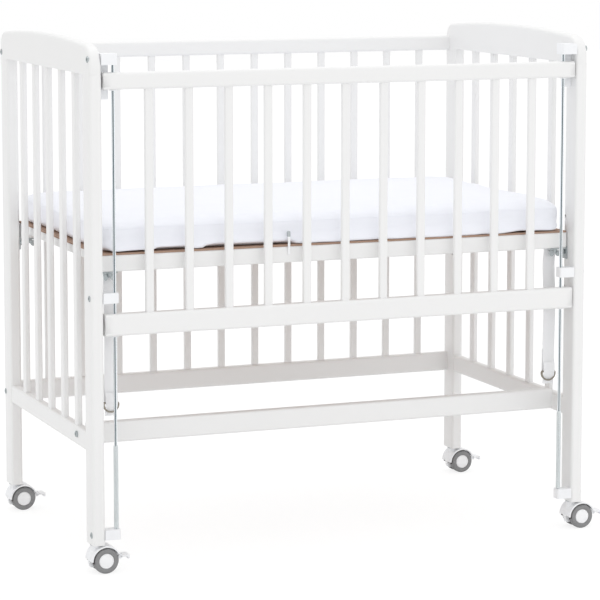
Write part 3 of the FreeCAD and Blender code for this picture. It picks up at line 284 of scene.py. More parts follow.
def metal(name, colour, roughness, drawn=None, metallic=1.0, rim=None):
    """Bare or plated steel, with drawing lines along an axis where it has them; where a rim
    colour is given, a painted reflection turns the colour to it on the sides seen edge-on.
    """
    finish = Finish(name, colour, Metallic=metallic)
    stretch = tuple(0.03 if axis == drawn else 1.0 for axis in "XYZ")
    lines = finish.speckle(700.0, 3.0, stretch if drawn else (1, 1, 1))
    blotch = finish.speckle(60.0, 3.0)
    # painted reflection: the colour turns pale where the surface faces away from the view, as if
    # it mirrored a pale room
    if rim:
        core, steepness = 0.045, 12.0
        facing = finish.node("ShaderNodeLayerWeight", {}, out=1)
        finish.tint(((facing - core) * steepness + blotch * 0.1).clamped(), rim)
    else:
        finish.tint(blotch * 0.5, darker(colour, 0.72))
    finish.roughen(roughness + lines * 0.12 + blotch * 0.08)
    finish.bump(lines, 0.00003, 0.4)
    return finish.material


def rubber(name, colour):
    """Soft tread rubber, matt, with dust in its skin."""
    finish = Finish(name, colour)
    dust = finish.speckle(120.0, 4.0)
    finish.tint((dust - 0.45).clamped(), tuple(min(1, c * 1.35) for c in colour))
    finish.roughen(0.62 + dust * 0.2)
    finish.bump(finish.speckle(1200.0, 2.0), 0.00008, 0.6)
    return finish.material


def woven(name, colour, pitch, sheen=0.25, crease=0.0):
    """Plain-weave cloth: threads cross on every face, over soft shallow creases."""
    finish = Finish(name, colour, Sheen_Weight=sheen, Sheen_Roughness=0.5)
    turns = 2 * math.pi / pitch
    threads = None
    for axis in finish.axes():
        wave = (axis * turns).sine()
        threads = wave if threads is None else threads + wave
    cloud = finish.speckle(16.0, 3.0)
    finish.tint((threads * 0.1 + cloud * 0.5).clamped() * 0.45, darker(colour, 0.93))
    finish.roughen(0.78 + cloud * 0.15)
    height = threads * 0.12 + cloud * crease
    finish.bump(height, 0.0006, 0.55)
    return finish.material


def ribbed_webbing(name, colour):
    """Narrow woven webbing with ribs across its length."""
    finish = Finish(name, colour, Sheen_Weight=0.2, Sheen_Roughness=0.5)
    x, _, z = finish.axes()
    rib, cord = 2 * math.pi / 0.0016, 2 * math.pi / 0.0024
    ribs = (z * rib).sine() * 0.6 + (x * cord).sine() * 0.4
    cloud = finish.speckle(60.0, 2.0)
    finish.tint((ribs * 0.25 + cloud * 0.5).clamped() * 0.5, darker(colour, 0.9))
    finish.roughen(0.7 + cloud * 0.2)
    finish.bump(ribs, 0.00025, 0.7)
    return finish.material


def fibreboard(name, colour):
    """Bare pressed fibreboard: a fine brown fleck."""
    finish = Finish(name, colour)
    fleck = finish.speckle(500.0, 5.0, (0.4, 0.4, 1.0))
    finish.tint(fleck, tuple(min(1, c * 1.5) for c in colour))
    finish.roughen(0.75 + fleck * 0.15)
    finish.bump(fleck, 0.0001, 0.5)
    return finish.material


def make_finishes():
    """Every finish by the name that the operators use."""
    c = bpy.context.scene.crib_colours
    made = {f"lacquer_{axis.lower()}": lacquered(f"lacquer_{axis.lower()}", axis)
            for axis in "XYZ"}
    made["moulding"] = moulded("moulding", c.moulding)
    made["cap"] = moulded("cap", c.cap, 0.24)
    # the rods' colours are a painted reflection, dark facing the view and pale on the sides
    made["rod"] = metal("rod", c.rod, 0.16, "Z", rim=c.rod_rim)
    made["zinc"] = metal("zinc", c.zinc, 0.34)
    made["spring"] = metal("spring", c.spring, 0.4, metallic=0.05)
    made["ring"] = metal("ring", c.ring, 0.3)
    made["tread"] = rubber("tread", c.tread)
    made["cotton"] = woven("cotton", c.cotton, 1.6 * MM, crease=0.9)
    made["webbing"] = ribbed_webbing("webbing", c.webbing)
    made["thread"] = woven("thread", darker(c.webbing, 0.92), 0.8 * MM)
    made["board"] = fibreboard("board", c.board)
    # painted shade for the gap between the casters' hoods and wheels
    made["recess"] = rubber("recess", c.recess)
    return made


def finish_of(name):
    return bpy.data.materials[name]


# ---------------------------------------------------------------- mesh tools
def wear(obj, material):
    obj.data.materials.clear()
    obj.data.materials.append(finish_of(material))


def smooth(mesh, angle=35.0):
    for face in mesh.polygons:
        face.use_smooth = True
    mesh.set_sharp_from_angle(angle=math.radians(angle))


def shaded(obj, angle=35.0):
    """Smooth rounded edges while flat faces stay flat, by weighting normals by face area."""
    smooth(obj.data, angle)
    weights = obj.modifiers.new("weights", "WEIGHTED_NORMAL")
    weights.keep_sharp = True
    weights.weight = 80
    return baked(obj)


def mesh_object(name, mesh, material=None):
    obj = bpy.data.objects.new(name, mesh)
    bpy.context.scene.collection.objects.link(obj)
    if material:
        wear(obj, material)
    return obj


def kept_mesh(name, bm):
    mesh = bpy.data.meshes.new(name)
    bm.to_mesh(mesh)
    bm.free()
    return mesh


def solid_of(node):
    """A construction node's mesh to work on, with its doubles merged."""
    bm = bmesh.new()
    bm.from_mesh(frame["nodes"][node].data)
    bmesh.ops.remove_doubles(bm, verts=bm.verts, dist=MERGE)
    return bm


def bridged(bm, rings, closed=False):
    """Faces between each ring of points and the next, and back to the first where closed."""
    for low, high in zip(rings, rings[1:] + rings[:1] if closed else rings[1:]):
        for k in range(len(low)):
            after = (k + 1) % len(low)
            bm.faces.new((low[k], low[after], high[after], high[k]))


def from_bmesh(name, bm, material, angle=35.0):
    """An object from a bmesh, with its doubles merged and its faces turned outwards."""
    bmesh.ops.remove_doubles(bm, verts=bm.verts, dist=FINE_MERGE)
    bmesh.ops.recalc_face_normals(bm, faces=bm.faces)
    mesh = kept_mesh(name, bm)
    smooth(mesh, angle)
    return mesh_object(name, mesh, material)


def baked(obj):
    """Apply an object's modifiers, so that it holds a plain mesh."""
    graph = bpy.context.evaluated_depsgraph_get()
    mesh = bpy.data.meshes.new_from_object(obj.evaluated_get(graph))
    obj.modifiers.clear()
    obj.data = mesh
    return obj


def lathe(bm, profile, centre, axis, segments=48):
    """A closed solid of revolution: profile is (along, radius) from one pole to the other."""
    side, up = {"X": (Vector((0, 1, 0)), Vector((0, 0, 1))),
                "Y": (Vector((0, 0, 1)), Vector((1, 0, 0))),
                "Z": (Vector((1, 0, 0)), Vector((0, 1, 0)))}[axis]
    along = side.cross(up)
    rings = []
    for reach, radius in profile:
        middle = centre + along * reach
        if radius <= 0:
            rings.append([bm.verts.new(middle)])
            continue
        ring = []
        for k in range(segments):
            turn = 2 * math.pi * k / segments
            ring.append(bm.verts.new(middle + (side * math.cos(turn) + up * math.sin(turn))
                                     * radius))
        rings.append(ring)
    for low, high in zip(rings, rings[1:]):
        for k in range(segments):
            after = (k + 1) % segments
            if len(low) == 1 and len(high) == 1:
                continue
            if len(low) == 1:
                bm.faces.new((low[0], high[k], high[after]))
            elif len(high) == 1:
                bm.faces.new((low[k], low[after], high[0]))
            else:
                bm.faces.new((low[k], low[after], high[after], high[k]))


def ring_lathe(bm, profile, centre, axis, segments=64):
    """A ring: the profile is a closed loop of (along, radius) that is joined to itself."""
    lathe(bm, [*profile, profile[0]], centre, axis, segments)


def block(bm, low, high):
    corners = [bm.verts.new((x, y, z)) for x in (low[0], high[0]) for y in (low[1], high[1])
               for z in (low[2], high[2])]
    for face in ((0, 1, 3, 2), (4, 6, 7, 5), (0, 4, 5, 1), (2, 3, 7, 6), (0, 2, 6, 4),
                 (1, 5, 7, 3)):
        bm.faces.new([corners[k] for k in face])


def softened(node, name, width, material, segments=3, angle=32.0):
    """A copy of a construction node with its sharp edges rounded; it replaces the node."""
    source = frame["nodes"][node]
    bm = solid_of(node)
    bmesh.ops.dissolve_limit(bm, angle_limit=math.radians(0.8), verts=bm.verts, edges=bm.edges,
                             delimit=set())
    obj = mesh_object(name, kept_mesh(name, bm), material)
    rounding = obj.modifiers.new("rounding", "BEVEL")
    rounding.width = width
    rounding.segments = segments
    rounding.limit_method = "ANGLE"
    rounding.angle_limit = math.radians(angle)
    rounding.use_clamp_overlap = True
    baked(obj)
    shaded(obj, 40)
    wear(obj, material)
    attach(obj, source["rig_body"])
    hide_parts(node)
    return obj


def polished(node, material, angle=35.0):
    """A smooth-shaded stand-in for a construction node whose shape is already right."""
    source = frame["nodes"][node]
    mesh = kept_mesh(f"{node}_finished", solid_of(node))
    obj = shaded(mesh_object(f"{node}_finished", mesh), angle)
    wear(obj, material)
    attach(obj, source["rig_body"])
    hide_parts(node)
    return obj


def pieces(node):
    """The lowest and highest corners of every separate solid in a construction node."""
    bm = solid_of(node)
    left = set(bm.verts)
    boxes = []
    while left:
        edge_of = [left.pop()]
        found = list(edge_of)
        while edge_of:
            for edge in edge_of.pop().link_edges:
                for vertex in edge.verts:
                    if vertex in left:
                        left.remove(vertex)
                        edge_of.append(vertex)
                        found.append(vertex)
        places = [vertex.co for vertex in found]
        boxes.append((Vector([min(p[k] for p in places) for k in range(3)]),
                      Vector([max(p[k] for p in places) for k in range(3)])))
    bm.free()
    return sorted(boxes, key=lambda box: tuple(box[0]))


# ---------------------------------------------------------------- geometry node trees
class Recipe(Graph):
    """A Geometry Nodes tree with named inputs, ending in Realize Instances and Set Material."""

    def __init__(self, name, sizes, material):
        tree = bpy.data.node_groups.new(name, "GeometryNodeTree")
        super().__init__(tree)
        tree.interface.new_socket("Geometry", in_out="INPUT",
                                  socket_type="NodeSocketGeometry")
        self.keys = {}
        for label, value in sizes.items():
            kind = "NodeSocketInt" if isinstance(value, int) else "NodeSocketFloat"
            socket = tree.interface.new_socket(label, in_out="INPUT", socket_type=kind)
            self.keys[label] = socket.identifier
        tree.interface.new_socket("Geometry", in_out="OUTPUT",
                                  socket_type="NodeSocketGeometry")
        start = tree.nodes.new("NodeGroupInput")
        self.inputs = {socket.name: Wire(self, socket) for socket in start.outputs
                       if socket.name}
        self.sizes = sizes
        self.material = material

    def finish(self, instances):
        solid = self.node("GeometryNodeRealizeInstances", {}, Geometry=instances)
        painted = self.node("GeometryNodeSetMaterial", {}, Geometry=solid,
                            Material=finish_of(self.material))
        end = self.tree.nodes.new("NodeGroupOutput")
        self.feed(end.inputs[0], painted)

    def make(self, name, mesh=None):
        """Run the tree on a mesh and keep its result as a plain mesh object."""
        obj = mesh_object(name, mesh or bpy.data.meshes.new(name))
        modifier = obj.modifiers.new("recipe", "NODES")
        modifier.node_group = self.tree
        for label, value in self.sizes.items():
            modifier[self.keys[label]] = value
        baked(obj)
        shaded(obj)
        wear(obj, self.material)
        return obj


def slat_recipe(name, width, thick, height, rounding, pitch, count, along, grain):
    """A row of upright slats with rounded edges."""
    recipe = Recipe(name, {"Width": width, "Thickness": thick, "Height": height,
                           "Rounding": rounding, "Pitch": pitch, "Count": count},
                    f"lacquer_{grain}")
    given = recipe.inputs
    outline = recipe.node("GeometryNodeCurvePrimitiveQuadrilateral", {},
                          Width=given["Width"], Height=given["Thickness"])
    rounded = recipe.node("GeometryNodeFilletCurve", {"mode": "POLY"}, Curve=outline,
                          Count=4, Radius=given["Rounding"])
    top = recipe.node("ShaderNodeCombineXYZ", {}, Z=given["Height"])
    spine = recipe.node("GeometryNodeCurvePrimitiveLine", {}, End=top)
    slat = recipe.node("GeometryNodeCurveToMesh", {}, Curve=spine, Profile_Curve=rounded,
                       Fill_Caps=True)
    step = recipe.node("ShaderNodeCombineXYZ", {}, **{along: given["Pitch"]})
    row = recipe.node("GeometryNodeMeshLine", {}, Count=given["Count"], Offset=step)
    recipe.finish(recipe.node("GeometryNodeInstanceOnPoints", {}, Points=row, Instance=slat))
    return recipe


def place_recipe(name, instance, material):
    """One object repeated at every point of a mesh, turned to that point's facing."""
    recipe = Recipe(name, {"Size": 1.0}, material)
    shape = recipe.node("GeometryNodeObjectInfo", {"transform_space": "ORIGINAL"},
                        Object=instance, out=4)
    facing = recipe.node("GeometryNodeInputNamedAttribute", {"data_type": "FLOAT_VECTOR"},
                         Name="facing")
    turn = recipe.node("FunctionNodeAlignRotationToVector", {"axis": "X"}, Vector=facing)
    recipe.finish(recipe.node("GeometryNodeInstanceOnPoints", {},
                              Points=recipe.inputs["Geometry"], Instance=shape, Rotation=turn,
                              Scale=recipe.inputs["Size"]))
    return recipe


def points_mesh(name, places):
    """A mesh of loose points, each with the direction that what stands there faces."""
    mesh = bpy.data.meshes.new(name)
    mesh.from_pydata([place for place, _ in places], [], [])
    facing = mesh.attributes.new("facing", "FLOAT_VECTOR", "POINT")
    for k, (_, direction) in enumerate(places):
        facing.data[k].vector = direction
    return mesh


def repeated(name, pattern, places, material, body):
    """Repeat a pattern object at many places as one mesh that rides on a body."""
    obj = place_recipe(f"{name}_recipe", pattern, material).make(name, points_mesh(name, places))
    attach(obj, body)
    return obj


def drop_pattern(pattern):
    """Take away a pattern object once its repeats are made."""
    bpy.data.objects.remove(pattern)


# ---------------------------------------------------------------- operators
class CRIB_OT_finishes(bpy.types.Operator):
    """Make every finish of the crib"""

    bl_idname = "crib.finishes"
    bl_label = "Finishes"

    def execute(self, context):
        make_finishes()
        return {"FINISHED"}


class CRIB_OT_timber(bpy.types.Operator):
    """Finish the posts, crowns and rails"""

    bl_idname = "crib.timber"
    bl_label = "Posts, Crowns and Rails"

    def execute(self, context):
        for side, end in CORNERS:
            polished(f"{side}_{end}_post", "lacquer_z")
        for side in SIDES:
            polished(f"{side}_crown", "lacquer_y", 25)
            polished(f"{side}_end_rail", "lacquer_y")
        for rail in ("back_top_rail", "back_bottom_rail", "front_lower_rail", "drop_top_rail",
                     "drop_bottom_rail", "base_front_rail", "base_back_rail"):
            polished(rail, "lacquer_x")
        softened("base_side_rails", "base_side_rails_finished", 1.2 * MM, "lacquer_y")
        return {"FINISHED"}


def slat_row(node, along, width_axis, count):
    """Replace a row of slats by one with finer rounded edges, sized from the node's box."""
    sizes = context_sizes()
    low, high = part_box(node)
    body = frame["nodes"][node]["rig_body"]
    width = slat_width(node, width_axis, count)
    thick_axis = 1 - width_axis
    thick = high[thick_axis] - low[thick_axis]
    pitch = (high[width_axis] - low[width_axis] - width) / (count - 1)
    flat_x, flat_y = (width, thick) if width_axis == 0 else (thick, width)
    recipe = slat_recipe(f"{node}_recipe", flat_x, flat_y, high.z - low.z,
                         sizes.slat_rounding, pitch, count, along, "z")
    obj = recipe.make(f"{node}_finished")
    start = Vector((low.x + flat_x / 2, low.y + flat_y / 2, low.z))
    obj.data.transform(Matrix.Translation(start))
    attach(obj, body)
    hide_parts(node)


def slat_width(node, axis, count):
    """Width of one slat: the gap after the first one, found from the node's own points."""
    places = sorted({round(v.co[axis], 5) for v in frame["nodes"][node].data.vertices})
    steps = [(b - a, k) for k, (a, b) in enumerate(zip(places, places[1:]))]
    gap_start = min(k for step, k in steps if step > 0.02)
    return places[gap_start] - places[0]


def context_sizes():
    return bpy.context.scene.crib_sizes


class CRIB_OT_slats(bpy.types.Operator):
    """Make the four rows of slats"""

    bl_idname = "crib.slats"
    bl_label = "Slats"

    def execute(self, context):
        slat_row("back_slats", "X", 0, 12)
        slat_row("drop_slats", "X", 0, 11)
        for side in SIDES:
            slat_row(f"{side}_end_slats", "Y", 1, 5)
        return {"FINISHED"}


class CRIB_OT_guides(bpy.types.Operator):
    """Finish the guide rods, springs, bushes and rod brackets"""

    bl_idname = "crib.guides"
    bl_label = "Rods and Brackets"

    def execute(self, context):
        sizes = context_sizes()
        for side in SIDES:
            polished(f"{side}_guide_rod", "rod")
            self.spring(side)
        polished("drop_guide_bushes", "moulding")
        for level in ("top", "middle", "bottom"):
            softened(f"{level}_rod_brackets", f"{level}_rod_brackets_finished",
                     sizes.moulded_edge, "moulding")
        return {"FINISHED"}

    def spring(self, side):
        """A close-wound spring of round wire between the bottom bracket and the stop."""
        low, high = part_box(f"{side}_buffer_spring")
        wire = 0.65 * MM
        inset = Vector((0, 0, wire))
        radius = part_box(f"{side}_guide_rod")[1].x - (low.x + high.x) / 2 + wire + 0.1 * MM
        bm = bmesh.new()
        tube(bm, helix(low + inset, high - inset, radius, 88), wire, closed=False, segments=6)
        spring = from_bmesh(f"{side}_buffer_spring_finished", bm, "spring", 80)
        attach(spring, "frame")
        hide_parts(f"{side}_buffer_spring")


def helix(low, high, radius, turns, steps=18):
    """Points up a helix that is closed at both ends, as a ground compression spring's is."""
    middle = (low + high) / 2
    points = []
    closing = 0.012
    count = turns * steps
    for k in range(count + 1):
        way = k / count
        ease = way - closing * math.sin(2 * math.pi * way)
        turn = 2 * math.pi * k / steps
        points.append(Vector((middle.x + radius * math.cos(turn),
                              middle.y + radius * math.sin(turn),
                              low.z + (high.z - low.z) * ease)))
    return points


def bolt_pattern(radius):
    """A domed bolt head with a six-sided socket, its face towards +X at the origin."""
    bm = bmesh.new()
    socket, depth, proud = radius * 0.5, 1.3 * MM, HEAD_PROUD
    profile = [(-proud * 1.4, radius), (proud * 0.55, radius), (proud * 0.85, radius * 0.9),
               (proud, radius * 0.75)]
    segments = 36
    rings = []
    for reach, ring_radius in profile:
        rings.append([bm.verts.new((reach, ring_radius * math.cos(2 * math.pi * k / segments),
                                    ring_radius * math.sin(2 * math.pi * k / segments)))
                      for k in range(segments)])

    def hexagon(reach, share=1.0):
        ring = []
        for k in range(segments):
            turn = 2 * math.pi * k / segments
            slant = math.cos(math.pi / 6) / math.cos((turn % (math.pi / 3)) - math.pi / 6)
            ring.append(bm.verts.new((reach, socket * slant * share * math.cos(turn),
                                      socket * slant * share * math.sin(turn))))
        return ring

    rings.append(hexagon(proud))
    rings.append(hexagon(proud - depth))
    bridged(bm, rings)
    bm.faces.new(list(reversed(rings[0])))
    bm.faces.new(rings[-1])
    return from_bmesh("bolt_pattern", bm, "zinc", 30)


def bolt_places(proud):
    """Where the frame bolts' heads stand on the end frames' outer faces."""
    places = []
    for low, high in pieces("frame_bolts"):
        middle = (low + high) / 2
        outwards = math.copysign(1, middle.x)
        face = high.x - proud if outwards > 0 else low.x + proud
        places.append((Vector((face, middle.y, middle.z)), Vector((outwards, 0, 0))))
    return places


def wing_profile(bm, centre, span, drop, thick):
    """Two rounded wings under a round neck, as one flat plate with a scooped middle."""
    steps = 14
    outline = []
    for k in range(steps + 1):
        way = k / steps
        x = (way - 0.5) * span
        lift = 0.55 * drop * math.exp(-((way - 0.5) / 0.16) ** 2)
        edge = math.sqrt(max(0.0, 1 - (2 * way - 1) ** 6))
        outline.append((x, -drop * edge + lift * edge))
    back = [(x, 0.0) for x, _ in reversed(outline)]
    loop = outline + back[1:-1]
    front = [bm.verts.new(centre + Vector((x, -thick / 2, z))) for x, z in loop]
    rear = [bm.verts.new(centre + Vector((x, thick / 2, z))) for x, z in loop]
    bm.faces.new(front)
    bm.faces.new(list(reversed(rear)))
    for k in range(len(loop)):
        after = (k + 1) % len(loop)
        bm.faces.new((front[k], rear[k], rear[after], front[after]))


class CRIB_OT_fasteners(bpy.types.Operator):
    """Make the frame bolts, the base's wing bolts and its post screws"""

    bl_idname = "crib.fasteners"
    bl_label = "Fasteners"

    def execute(self, context):
        sizes = context_sizes()
        pattern = bolt_pattern(sizes.bolt_head)
        heads = repeated("frame_bolt_heads", pattern, bolt_places(HEAD_PROUD), "zinc", "frame")
        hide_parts("frame_bolts")
        drop_pattern(pattern)
        self.nut_plugs()
        softened("base_corner_brackets", "base_corner_brackets_finished", sizes.steel_edge,
                 "zinc", 2)
        polished("base_post_screws", "zinc")
        self.wing_bolts()
        return {"FINISHED"}

    def nut_plugs(self):
        """The barrel nuts, each under a lacquered plug that is flush with its rail."""
        bm = bmesh.new()
        radius, flush = 5.22 * MM, 0.98 * MM
        for low, high in pieces("barrel_nuts"):
            middle = (low + high) / 2
            reach = (high.y - low.y) / 2 + flush
            lathe(bm, [(-reach, 0), (-reach, radius), (reach, radius), (reach, 0)], middle, "Y",
                  40)
        plugs = from_bmesh("barrel_nut_plugs", bm, "lacquer_x", 30)
        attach(plugs, "frame")
        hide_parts("barrel_nuts")

    def wing_bolts(self):
        low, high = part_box("base_wing_bolts")
        rail_low, rail_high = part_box("base_front_rail")
        back_low, back_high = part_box("base_back_rail")
        seat = rail_low.z - 2.5 * MM
        span = 22 * MM
        bm = bmesh.new()
        for x in (low.x + span / 2, high.x - span / 2):
            for part_low, part_high in ((rail_low, rail_high), (back_low, back_high)):
                centre = Vector((x, (part_low.y + part_high.y) / 2, seat))
                lathe(bm, [(0, 0), (0, 4.2 * MM), (-1.2 * MM, 4.8 * MM), (-5 * MM, 4.8 * MM),
                           (-7 * MM, 3.6 * MM), (-7.4 * MM, 0)], centre, "Z", 28)
                wing_profile(bm, centre + Vector((0, 0, -2.4 * MM)), span, 11.5 * MM, 2.6 * MM)
        obj = from_bmesh("base_wing_bolts_finished", bm, "zinc", 40)
        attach(obj, "frame")
        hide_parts("base_wing_bolts")


class CRIB_OT_base(bpy.types.Operator):
    """Finish the board under the mattress"""

    bl_idname = "crib.base"
    bl_label = "Mattress Board"

    def execute(self, context):
        softened("base_board", "base_board_finished", 0.5 * MM, "board", 2)
        return {"FINISHED"}


# ---------------------------------------------------------------- mattress
def filled(obj, swell):
    """Fill the cover with a short pressure simulation, capped so that it stays in its place."""
    rest = [v.co.copy() for v in obj.data.vertices]
    cloth = obj.modifiers.new("cover", "CLOTH")
    settings = cloth.settings
    settings.quality = 4
    settings.mass = 0.3
    settings.tension_stiffness = 25
    settings.compression_stiffness = 25
    settings.bending_stiffness = 1.2
    settings.use_pressure = True
    settings.uniform_pressure_force = 3.0
    settings.effector_weights.gravity = 0
    cloth.collision_settings.use_collision = False
    last_frame = 16
    cloth.point_cache.frame_start = 1
    cloth.point_cache.frame_end = last_frame
    scene = bpy.context.scene
    for step in range(1, last_frame + 1):
        scene.frame_set(step)
    baked(obj)
    scene.frame_set(1)
    for vertex, start in zip(obj.data.vertices, rest):
        move = vertex.co - start
        if move.length > swell:
            vertex.co = start + move.normalized() * swell


def rounded_path(low, high, corner, level, steps=10):
    """Points round a rectangle with rounded corners, at one level."""
    points = []
    centres = [(high.x - corner, low.y + corner, -90), (high.x - corner, high.y - corner, 0),
               (low.x + corner, high.y - corner, 90), (low.x + corner, low.y + corner, 180)]
    for x, y, start in centres:
        for k in range(steps + 1):
            turn = math.radians(start + 90 * k / steps)
            points.append(Vector((x + corner * math.cos(turn), y + corner * math.sin(turn),
                                  level)))
    return points


def tube(bm, points, radius, closed=True, segments=8):
    """A round tube along points, closed on itself or capped."""
    rings = []
    count = len(points)
    for k, point in enumerate(points):
        before = points[(k - 1) % count] if closed or k else points[0]
        after = points[(k + 1) % count] if closed or k < count - 1 else points[-1]
        ahead = (after - before).normalized()
        side = ahead.cross(Vector((0, 0, 1)))
        side = side.normalized() if side.length > 1e-3 else Vector((1, 0, 0))
        up = side.cross(ahead)
        rings.append([bm.verts.new(point + (side * math.cos(2 * math.pi * j / segments)
                                            + up * math.sin(2 * math.pi * j / segments))
                                   * radius) for j in range(segments)])
    bridged(bm, rings, closed)
    if not closed:
        bm.faces.new(rings[0])
        bm.faces.new(list(reversed(rings[-1])))


def cover_ripple(point, low, high):
    """Soft creases: stronger on the sides and near the corners, faint on the top."""
    centre = (low + high) / 2
    size = (high - low) / 2
    off = Vector(((point.x - centre.x) / size.x, (point.y - centre.y) / size.y,
                  (point.z - centre.z) / size.z))
    corner = max(0.0, abs(off.x) + abs(off.y) - 1.35)
    side = max(abs(off.x), abs(off.y)) ** 8
    long_waves = noise.noise(Vector((point.x * 7, point.y * 9, point.z * 26)))
    fine_waves = noise.noise(Vector((point.x * 24, point.y * 24, point.z * 70 + 5)))
    return (long_waves * (0.5 + 1.3 * side) + fine_waves * (0.15 + 0.7 * side + 1.6 * corner))


class CRIB_OT_mattress(bpy.types.Operator):
    """Make the covered mattress, its seams and its zip"""

    bl_idname = "crib.mattress"
    bl_label = "Mattress"

    def execute(self, context):
        sizes = context_sizes()
        low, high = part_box("mattress")
        cover = mesh_object("mattress_cover", kept_mesh("mattress_cover", solid_of("mattress")),
                            "cotton")
        remesh = cover.modifiers.new("cells", "REMESH")
        remesh.mode = "VOXEL"
        remesh.voxel_size = sizes.cover_voxel
        baked(cover)
        middle = (low + high) / 2
        shrink = Matrix.Translation(middle) @ Matrix.Diagonal((0.997, 0.995, 0.97, 1))
        cover.data.transform(shrink @ Matrix.Translation(-middle))
        filled(cover, sizes.cover_swell)
        self.crease(cover, low, high)
        fine = cover.modifiers.new("fine", "SUBSURF")
        fine.levels = 1
        fine.render_levels = 1
        baked(cover)
        wear(cover, "cotton")
        smooth(cover.data, 180)
        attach(cover, "mattress")
        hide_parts("mattress")
        self.seams(cover, low, high, sizes)
        self.zip(sizes)
        return {"FINISHED"}

    def crease(self, cover, low, high):
        """Soft creases over the cover, which bulges and hangs a little over the board's edge."""
        ripple, foot, bulge, sag = 2.1 * MM, 16 * MM, 2.6 * MM, 3.4 * MM
        overhang, turned_in, faces_front = 3.5 * MM, 14 * MM, -0.15
        middle = (low + high) / 2
        outwards = [vertex.normal.copy() for vertex in cover.data.vertices]
        for vertex, outward in zip(cover.data.vertices, outwards):
            vertex.co += outward * cover_ripple(vertex.co, low, high) * ripple
            near_board = max(0.0, 1 - (vertex.co.z - low.z) / foot)
            vertex.co.y += outward.y * bulge * near_board
            hangs = outward.y < faces_front and vertex.co.y < low.y + turned_in
            if hangs:
                vertex.co.y += (low.y - overhang - vertex.co.y) * math.sqrt(near_board)
            vertex.co.x = min(max(vertex.co.x, low.x - 1.2 * MM), high.x + 1.2 * MM)
            vertex.co.y = min(max(vertex.co.y, low.y - 5 * MM), high.y + 0.5 * MM)
            vertex.co.z = max(vertex.co.z, low.z) - (sag * near_board ** 4 if hangs else 0)

    def seams(self, cover, low, high, sizes):
        """The stitched seam round the top edge, laid on the cover's own surface."""
        bm = bmesh.new()
        edge = rounded_path(low, high, 26 * MM, low.z + 43 * MM, 12)
        run = []
        for start, finish in zip(edge, edge[1:] + edge[:1]):
            parts = max(1, int((finish - start).length / (12 * MM)))
            run += [start.lerp(finish, k / parts) for k in range(parts)]
        laid = []
        for point in run:
            _, place, normal, _ = cover.closest_point_on_mesh(point)
            laid.append(place + normal * sizes.piping * 0.3)
        tube(bm, laid, sizes.piping)
        obj = from_bmesh("mattress_piping", bm, "cotton", 180)
        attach(obj, "mattress")

    def zip(self, sizes):
        """The zip's slider and its webbing pull on the front."""
        slider_low, slider_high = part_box("mattress_zip_pull")
        x = (slider_low.x + slider_high.x) / 2
        bm = bmesh.new()
        front = slider_low.y
        block(bm, (x - 3 * MM, front, slider_high.z - 10 * MM),
              (x + 3 * MM, front + 4.4 * MM, slider_high.z))
        slider = from_bmesh("zip_slider", bm, "zinc")
        rounding = slider.modifiers.new("rounding", "BEVEL")
        rounding.width = 1.1 * MM
        rounding.segments = 3
        baked(slider)
        wear(slider, "zinc")
        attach(slider, "mattress")
        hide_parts("mattress_zip_pull")
        bm = bmesh.new()
        drop = slider_high.z - 9 * MM - slider_low.z
        steps = 10
        tape_wall = 1.1 * MM

        def edge(layer):
            """One face of the tape, from the slider down, with a slight sway."""
            return [(front + 0.6 * MM - math.sin(k / steps * math.pi) * 1.1 * MM
                     + layer * tape_wall, slider_high.z - 8 * MM - drop * (k / steps))
                    for k in range(steps + 1)]

        loop = edge(0) + list(reversed(edge(1)))
        left = [bm.verts.new((x - 2.2 * MM, y, z)) for y, z in loop]
        right = [bm.verts.new((x + 2.2 * MM, y, z)) for y, z in loop]
        for k in range(len(loop)):
            after = (k + 1) % len(loop)
            bm.faces.new((left[k], left[after], right[after], right[k]))
        for k in range(steps):
            mirror = 2 * steps + 1 - k
            bm.faces.new((left[k], left[k + 1], left[mirror - 1], left[mirror]))
            bm.faces.new((right[k], right[mirror], right[mirror - 1], right[k + 1]))
        tape = from_bmesh("zip_pull_tape", bm, "webbing", 60)
        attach(tape, "mattress")


# ---------------------------------------------------------------- straps
def ribbon(bm, path, x_low, x_high, thick):
    """A band of webbing: a path in the YZ plane, given a thickness and a width along X."""
    outer, inner = [], []
    count = len(path)
    for k, point in enumerate(path):
        before = path[max(0, k - 1)]
        after = path[min(count - 1, k + 1)]
        ahead = (after - before).normalized()
        side = Vector((0, -ahead.z, ahead.y)) * (thick / 2)
        outer.append(point + side)
        inner.append(point - side)
    columns, selvedge = 5, 0.55
    grid = []
    for j in range(columns):
        x = x_low + (x_high - x_low) * j / (columns - 1)
        edge = selvedge if j in (0, columns - 1) else 1.0
        ring = []
        for a, b in zip(outer, inner):
            middle = (a + b) / 2
            ring.append([bm.verts.new((x, *(middle + (a - middle) * edge).yz)),
                         bm.verts.new((x, *(middle + (b - middle) * edge).yz))])
        grid.append(ring)
    for j in range(columns - 1):
        for k in range(count - 1):
            for layer in (0, 1):
                quad = (grid[j][k][layer], grid[j][k + 1][layer], grid[j + 1][k + 1][layer],
                        grid[j + 1][k][layer])
                bm.faces.new(quad if layer else tuple(reversed(quad)))
        for k in (0, count - 1):
            quad = (grid[j][k][0], grid[j][k][1], grid[j + 1][k][1], grid[j + 1][k][0])
            bm.faces.new(quad if k else tuple(reversed(quad)))
    for j in (0, columns - 1):
        for k in range(count - 1):
            quad = (grid[j][k][0], grid[j][k + 1][0], grid[j][k + 1][1], grid[j][k][1])
            bm.faces.new(quad if j else tuple(reversed(quad)))


def curve_through(points, steps=6):
    """A smooth run through a few points, as a Catmull-Rom curve."""
    run = []
    for k in range(len(points) - 1):
        a = points[max(0, k - 1)]
        b, c = points[k], points[k + 1]
        d = points[min(len(points) - 1, k + 2)]
        for j in range(steps):
            way = j / steps
            run.append(0.5 * ((2 * b) + (c - a) * way + (2 * a - 5 * b + 4 * c - d) * way ** 2
                              + (3 * b - 3 * c + d - a) * way ** 3))
    run.append(points[-1])
    return run


